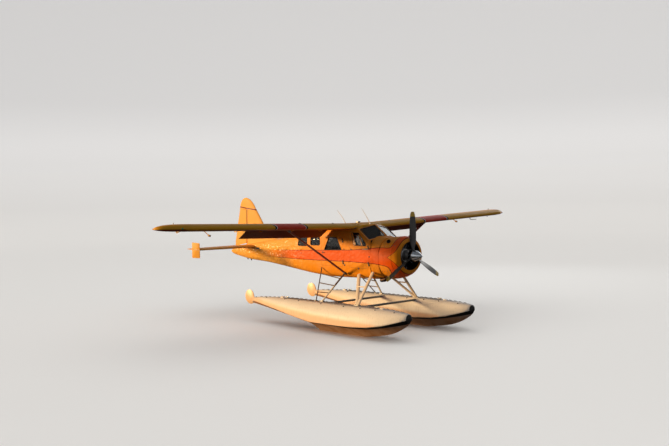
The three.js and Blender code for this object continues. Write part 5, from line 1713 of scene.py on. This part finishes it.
def make_cross_bracing():
    for label, x in (("front", 0.8), ("rear", -0.64)):
        beam = bar(place(x, -1.225, -2.345), place(x, 1.225, -2.345), 0.11, 0.08, 30, name=f"spreader_{label}")
        for side in SIDES.values():
            rings = [[p + Vector((0, side * FLOAT["y"], 0.0)) for p in float_ring(FORE_SHAPE, at)]
                for at in spread(FLOAT["step"], 1.2, 12)]
            carve(beam, loft(rings))
        dress(beam, SPREADER_GREY, "strut_silver", f"spreader_bar_{label}")
        ends = [bar(place(x, side * 1.03, -2.345), place(x, side * 1.12, -2.345), 0.126, 0.092, 30)
            for side in SIDES.values()]
        fit(f"spreader_collars_{label}", ends, SPREADER_GREY, "strut_silver")


# Cabin.

# Columns: name, x, y from and to.
SEATS = [("seat_front_port", -0.4, 0.09, 0.5), ("seat_front_starboard", -0.4, -0.5, -0.09),
         ("seat_middle", -1.33, -0.5, 0.5), ("seat_rear", -2.33, -0.47, 0.47)]


def cushion(name, corners, y0, y1, puff=0.018):
    """A crowned pad over a side view of four corners, with its sides drawn in between."""
    rings = []
    count = 13
    for k in range(count):
        t = k / (count - 1)
        y = y0 + (y1 - y0) * t
        edge = 1 - abs(2 * t - 1) ** 6
        centre = sum((Vector((x, z)) for x, z in corners), Vector((0, 0))) / 4
        outline = rounded(corners, 0.045, 5)
        ring = []
        for x, z in outline:
            from_centre = Vector((x, z)) - centre
            ring.append(place(centre.x + from_centre.x * (0.8 + 0.2 * edge), y,
                centre.y + from_centre.y * (0.62 + 0.38 * edge)))
        rings.append(ring)
    made = loft(rings, name=name)
    remesh = made.modifiers.new("even", "REMESH")
    remesh.mode, remesh.voxel_size = "VOXEL", 0.011
    settle(made)
    swell = made.modifiers.new("swell", "DISPLACE")
    swell.strength, swell.mid_level = puff, 0.0
    soften = made.modifiers.new("soften", "SMOOTH")
    soften.factor, soften.iterations = 0.6, 12
    return settle(made)


def puffed(made, limit=0.026):
    """The pad filled from inside by a short cloth run, no point moving further than the limit."""
    before = [v.co.copy() for v in made.data.vertices]
    cloth = made.modifiers.new("fill", "CLOTH")
    cloth.settings.use_pressure = True
    cloth.settings.uniform_pressure_force = 4.0
    cloth.settings.quality = 4
    cloth.settings.effector_weights.gravity = 0.0
    cloth.collision_settings.use_collision = False
    scene = bpy.context.scene
    cloth.point_cache.frame_start, cloth.point_cache.frame_end = 1, 16
    for frame_number in range(1, 17):
        scene.frame_set(frame_number)
    settle(made)
    scene.frame_set(1)
    for vertex, start in zip(made.data.vertices, before):
        moved = vertex.co - start
        if moved.length > limit:
            vertex.co = start + moved.normalized() * limit
    return made


def make_seats():
    floor = CABIN["floor_z"]
    for name, x, y0, y1 in SEATS:
        seat = cushion(f"{name}_cushion", [(x + 0.1, -1.055), (x + 0.455, -1.035), (x + 0.455, -1.125),
            (x + 0.03, -1.155)], y0 + 0.025, y1 - 0.025)
        back = cushion(f"{name}_back", [(x + 0.095, -1.01), (x - 0.015, -0.445), (x - 0.075, -0.44),
            (x - 0.005, -1.04)], y0 + 0.03, y1 - 0.03, 0.014)
        for pad in (seat, back):
            puffed(pad)
            dress(pad, SEAT_CLOTH, "seat_cloth")
        frame_parts = []
        for y in (y0 + 0.03, y1 - 0.03):
            path = curve_through([place(x + 0.42, y, floor + 0.005), place(x + 0.42, y, -1.16),
                place(x + 0.05, y, -1.165), place(x - 0.01, y, -1.02), place(x - 0.085, y, -0.455)], 5)
            frame_parts.append(sweep(path, 0.012, 10))
            frame_parts.append(rod_between(place(x + 0.08, y, floor + 0.005), place(x + 0.06, y, -1.165),
                0.012, 10))
        for fx, fz in ((x + 0.42, -1.18), (x + 0.04, -1.165), (x - 0.085, -0.46)):
            frame_parts.append(rod_between(place(fx, y0 + 0.03, fz), place(fx, y1 - 0.03, fz), 0.012, 10))
        fit(f"{name}_frame", frame_parts, DARK_STEEL, "panel_black", name)


def make_instrument_panel():
    outline = [(0.44, -0.72), (0.43, -0.44), (0.61, -0.425), (0.6197, -0.43), (0.6197, -0.72)]
    board = softened(plate(outline, -0.5, 0.5, name="instrument_board"), 0.008, 30)
    dress(board, PANEL_BLACK, "panel_black", "instrument_panel")
    dials, bezels = [], []
    for row, z in ((0, -0.505), (1, -0.615)):
        for k in range(7):
            y = 0.4 - k * 0.112
            spot = place(0.4335, y, z)
            bezels.append(turned([(-0.004, 0.044), (0.01, 0.044), (0.012, 0.04), (0.006, 0.036),
                (0.004, 0.001)], spot, (-1, 0, -0.04), 28))
            needle = radians(40 + 67 * k + 100 * row)
            tip = Vector((0, cos(needle), sin(needle)))
            dials.append(rod_between(spot + Vector((-0.01, 0, 0)), spot + Vector((-0.01, 0, 0)) + tip * 0.026,
                0.0016, 6))
            for a in circle(8):
                ray = Vector((0, cos(a), sin(a)))
                dials.append(rod_between(spot + Vector((-0.0085, 0, 0)) + ray * 0.029,
                    spot + Vector((-0.0085, 0, 0)) + ray * 0.034, 0.0012, 6))
    fit("dial_bezels", bezels, PANEL_BLACK, "panel_black")
    fit("dial_marks", dials, DIAL_WHITE, "panel_black")
    # One control column with a wheel on each side of it.
    post = sweep(curve_through([place(0.3, 0, -1.355), place(0.28, 0, -1.05), place(0.3, 0, -0.86)], 6), 0.018,
        14)
    arms, wheels = [post], []
    for side in SIDES.values():
        arms.append(sweep(curve_through([place(0.3, 0, -0.87), place(0.29, side * 0.14, -0.82),
            place(0.26, side * 0.28, -0.8)], 6), 0.014, 12))
        ring = [place(0.235 + 0.03 * sin(a), side * 0.28 + 0.125 * cos(a), -0.8 + 0.115 * sin(a))
            for a in spread(radians(-210), radians(30), 26)]
        wheels.append(sweep(ring, 0.012, 10))
        wheels.append(rod_between(place(0.24, side * 0.28 - 0.12, -0.8), place(0.24, side * 0.28 + 0.12, -0.8),
            0.01, 10))
    fit("control_column", arms, BLACK_TRIM, "panel_black")
    fit("control_wheels", wheels, RUBBER, "panel_black")


# Small fittings on the outside.

def make_small_fittings():
    # Two whip aerials lean back from the roof.
    for label, foot, tip in (("front", (0.034, 0, 0.03), (-0.34, 0, 0.52)),
            ("rear", (-1.05, 0, -0.01), (-1.46, 0, 0.45))):
        path = curve_through([place(*foot), place(foot[0] - 0.13, 0, foot[2] + 0.19), place(*tip)], 8)
        radii = [0.015 - 0.01 * i / (len(path) - 1) for i in range(len(path))]
        base = turned([(-0.02, 0.034), (0.01, 0.032), (0.022, 0.02), (0.03, 0.012)], place(*foot), (0, 0, 1),
            20)
        fit(f"whip_aerial_{label}", [sweep(path, radii, 10), base], LEG_WHITE, "panel_black")
    pad = softened(block((-0.55, -0.45), (-0.05, 0.05), (0.06, 0.11), name="hoist_pad"), 0.004)
    dress(pad, DARK_STEEL, "strut_silver")
    for name, side in SIDES.items():
        # Round caps low on the body's side.
        caps = []
        for x, z, r in ((-0.49, -1.21, 0.026), (0.12, -1.29, 0.026), (0.588, -0.91, 0.02),
                (-0.51, -0.72, 0.018), (-2.57, -0.93, 0.018)):
            caps.append(turned([(-0.01, r), (0.006, r), (0.01, r * 0.7), (0.011, 0.001)],
                place(x, side * skin_y(x, z), z), (0, side, 0), 20))
        fit(f"side_caps_{name}", caps, BLACK_TRIM, "panel_black")
        # A small plate on the rear body.
        on_skin(f"rear_plate_{name}", rounded([(-5.14, -0.87), (-5.34, -0.88), (-5.34, -0.935),
            (-5.14, -0.93)], 0.012), side, 0.004, BLACK_TRIM, "panel_black", rows=TAIL_ROWS)
        # The upper seam of the rear body.
        path = [place(x, side * (skin_y(x, z, TAIL_ROWS) + 0.0005), z)
            for x, z in [(x, -0.45 - (-3.8 - x) * 0.165) for x in spread(-2.95, -6.2, 30)]]
        dress(sweep(path, 0.0035, 6, name=f"rear_body_seam_{name}"), GOLD_TRIM, "gold_paint")
    # Stud aerials and a drain below the rear body.
    studs = []
    for x in (-5.97, -6.17):
        low = smooth_table(TAIL_ROWS)(x)[2]
        studs.append(turned([(-0.02, 0.026), (0.03, 0.022), (0.055, 0.012), (0.06, 0.001)], place(x, 0, low),
            (0, 0, -1), 16))
    low = smooth_table(CABIN_ROWS)(-2.67)[2]
    studs.append(turned([(-0.02, 0.04), (0.012, 0.036), (0.03, 0.018), (0.034, 0.001)], place(-2.67, 0, low),
        (0, 0, -1), 18))
    fit("belly_studs", studs, BLACK_TRIM, "panel_black")
    # The tail lamp sits at the end of the body.
    lamp = turned([(-0.03, 0.012), (0.0, 0.012), (0.012, 0.008), (0.016, 0.001)], place(-7.1, 0, -1.078),
        (-1, 0, 0), 16, name="tail_lamp")
    dress(lamp, LENS_CLEAR, "panel_black")
    hinges = [block((-6.19, -6.146), (-0.022, 0.022), (z, z + 0.03)) for z in (-0.6, -0.2, 0.15)]
    fit("rudder_hinges", hinges, DARK_STEEL, "strut_silver")
    # Painted highlight: thin warm white strips down the hinge line stand for the bright reflection on the
    # rudder's rounded leading edge.
    strips = [sweep([place(-6.143, side * 0.036, -0.7), place(-6.143, side * 0.024, 0.43)], 0.007, 8)
        for side in SIDES.values()]
    fit("rudder_hinge_highlight_strips", strips, LEG_WHITE, "strut_silver")


# Stage.

SENSOR_WIDTH, LENS_OVER_WIDTH = 36.0, 951.8 / 669


def make_camera():
    seen = place(20.808, -20.515, 1.279)
    back = -Vector((-0.73682, 0.67484, -0.04094)).normalized()
    right = Vector((0.6758, 0.73693, -0.01551)).normalized()
    up = back.cross(right).normalized()
    camera = bpy.data.objects.new("camera", bpy.data.cameras.new("camera"))
    camera.data.sensor_width, camera.data.sensor_fit = SENSOR_WIDTH, "HORIZONTAL"
    camera.data.lens = SENSOR_WIDTH * LENS_OVER_WIDTH
    camera.data.clip_end = 400
    camera.matrix_world = Matrix.Translation(seen) @ Matrix((right, up, back)).transposed().to_4x4()
    bpy.context.scene.collection.objects.link(camera)
    bpy.context.scene.camera = camera


def soft_light(name, spot, aim, size, power, colour):
    lamp = bpy.data.lights.new(name, "AREA")
    lamp.shape, lamp.size, lamp.energy, lamp.color = "DISK", size, power, colour
    made = bpy.data.objects.new(name, lamp)
    made.location = place(*spot)
    made.rotation_euler = (place(*aim) - place(*spot)).to_track_quat("-Z", "Y").to_euler()
    bpy.context.scene.collection.objects.link(made)
    return made


def round_sheet(name, profile, sides=96):
    """A surface turned about the middle of the floor. Columns: radius, height."""
    points = [(radius * cos(a), radius * sin(a), height) for radius, height in profile for a in circle(sides)]
    faces = []
    for k in range(len(profile) - 1):
        faces += [(k * sides + i, k * sides + (i + 1) % sides, (k + 1) * sides + (i + 1) % sides,
            (k + 1) * sides + i) for i in range(sides)]
    made = mesh_object(name, points, faces)
    made.data.shade_smooth()
    return made


def fall_on(light, sheets, lights_sheets):
    """The light falls on the floor and backdrop only, or on everything else only."""
    linked = bpy.data.collections.new(light.name + " falls on")
    for sheet in sheets:
        linked.objects.link(sheet)
    for member in linked.collection_objects:
        member.light_linking.link_state = "INCLUDE" if lights_sheets else "EXCLUDE"
    light.light_linking.receiver_collection = linked


def broad_sun(name, towards, angle, strength, colour):
    sun = bpy.data.lights.new(name, "SUN")
    sun.energy, sun.angle, sun.color = strength, radians(angle), colour
    made = bpy.data.objects.new(name, sun)
    made.rotation_euler = Vector(towards).to_track_quat("Z", "Y").to_euler()
    bpy.context.scene.collection.objects.link(made)
    return made


def make_stage():
    # A plain pale floor, and a backdrop that curves up from it.
    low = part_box("float_port")[0].z - 0.0005
    floor = round_sheet("pale_floor", [(0.01, low), (20.0, low), (40.0, low)])
    backdrop = round_sheet("backdrop", [(40.0, low), (44.0, low), (50.0, low + 0.6), (54.5, low + 2.6),
        (57.5, low + 6.5), (59.0, low + 12.0), (59.0, low + 34.0)])
    backdrop.visible_shadow = False
    for sheet, glow in ((floor, 0.0), (backdrop, 0.3)):
        w = finish(sheet.name.replace("_", " "), Base_Color=(0.8, 0.79, 0.77), Roughness=0.75,
            Emission_Color=(0.98, 0.98, 1.0), Emission_Strength=glow)
        if glow:
            height = w.part(w.node("TexCoord").outputs["Object"], "Z")
            lit = w.mix(w.step(height, 0.0, 9.0), (0.0, 0.0, 0.0), (0.98, 0.98, 1.0))
            w.put(w.shader.inputs["Emission Color"], lit)
        sheet.data.materials.append(w.material)
        sheet.visible_diffuse = False
        sheet.visible_glossy = sheet is backdrop
    world = bpy.data.worlds.new("soft room")
    bpy.context.scene.world = world
    world.use_nodes = True
    w = Wiring(world.node_tree)
    rise = w.part(w.node("TexCoord").outputs["Generated"], "Z")
    sky = w.mix(w.step(rise, -0.25, 0.1), (0.34, 0.29, 0.24), (0.96, 0.96, 1.0))
    w.put(world.node_tree.nodes["Background"].inputs["Color"], sky)
    world.node_tree.nodes["Background"].inputs["Strength"].default_value = 0.17
    # Warm light comes low from behind the starboard side, a soft one from above keeps the floor even.
    sheets = (floor, backdrop)
    fall_on(broad_sun("warm_sun", (-0.78, -0.64, 0.13), 11, 5.3, (1.0, 0.66, 0.32)), sheets, False)
    fall_on(broad_sun("floor_light", (0.1, -0.2, 1.0), 130, 2.3, (1.0, 0.98, 0.95)), sheets, True)
    fall_on(soft_light("port_fill", (-3.0, 22.0, 5.0), (-1.0, 0.0, -1.0), 14.0, 900, (1.0, 0.97, 0.93)),
        sheets, False)
    soft_light("port_sky", (-9.0, 18.0, 8.0), (0.0, 0.0, -1.0), 10.0, 230, (0.9, 0.96, 1.0))
    soft_light("front_fill", (22.0, -9.0, 7.0), (0.5, 0.0, -1.0), 12.0, 140, (0.98, 0.97, 1.0))
    view = bpy.context.scene.view_settings
    view.view_transform, view.look, view.exposure = "Standard", "None", 0.0


make_camera()
make_body()
make_windscreen()
make_tail_cone()
make_tail()
make_fin_and_rudder()
for name, side in SIDES.items():
    make_wing(name, side)
    make_float(name, side)
    make_struts(name, side)
    make_float_struts(name, side)
make_cross_bracing()
make_cowl()
make_engine()
make_exhaust()
make_propeller()
make_seats()
make_instrument_panel()
make_small_fittings()
make_stage()
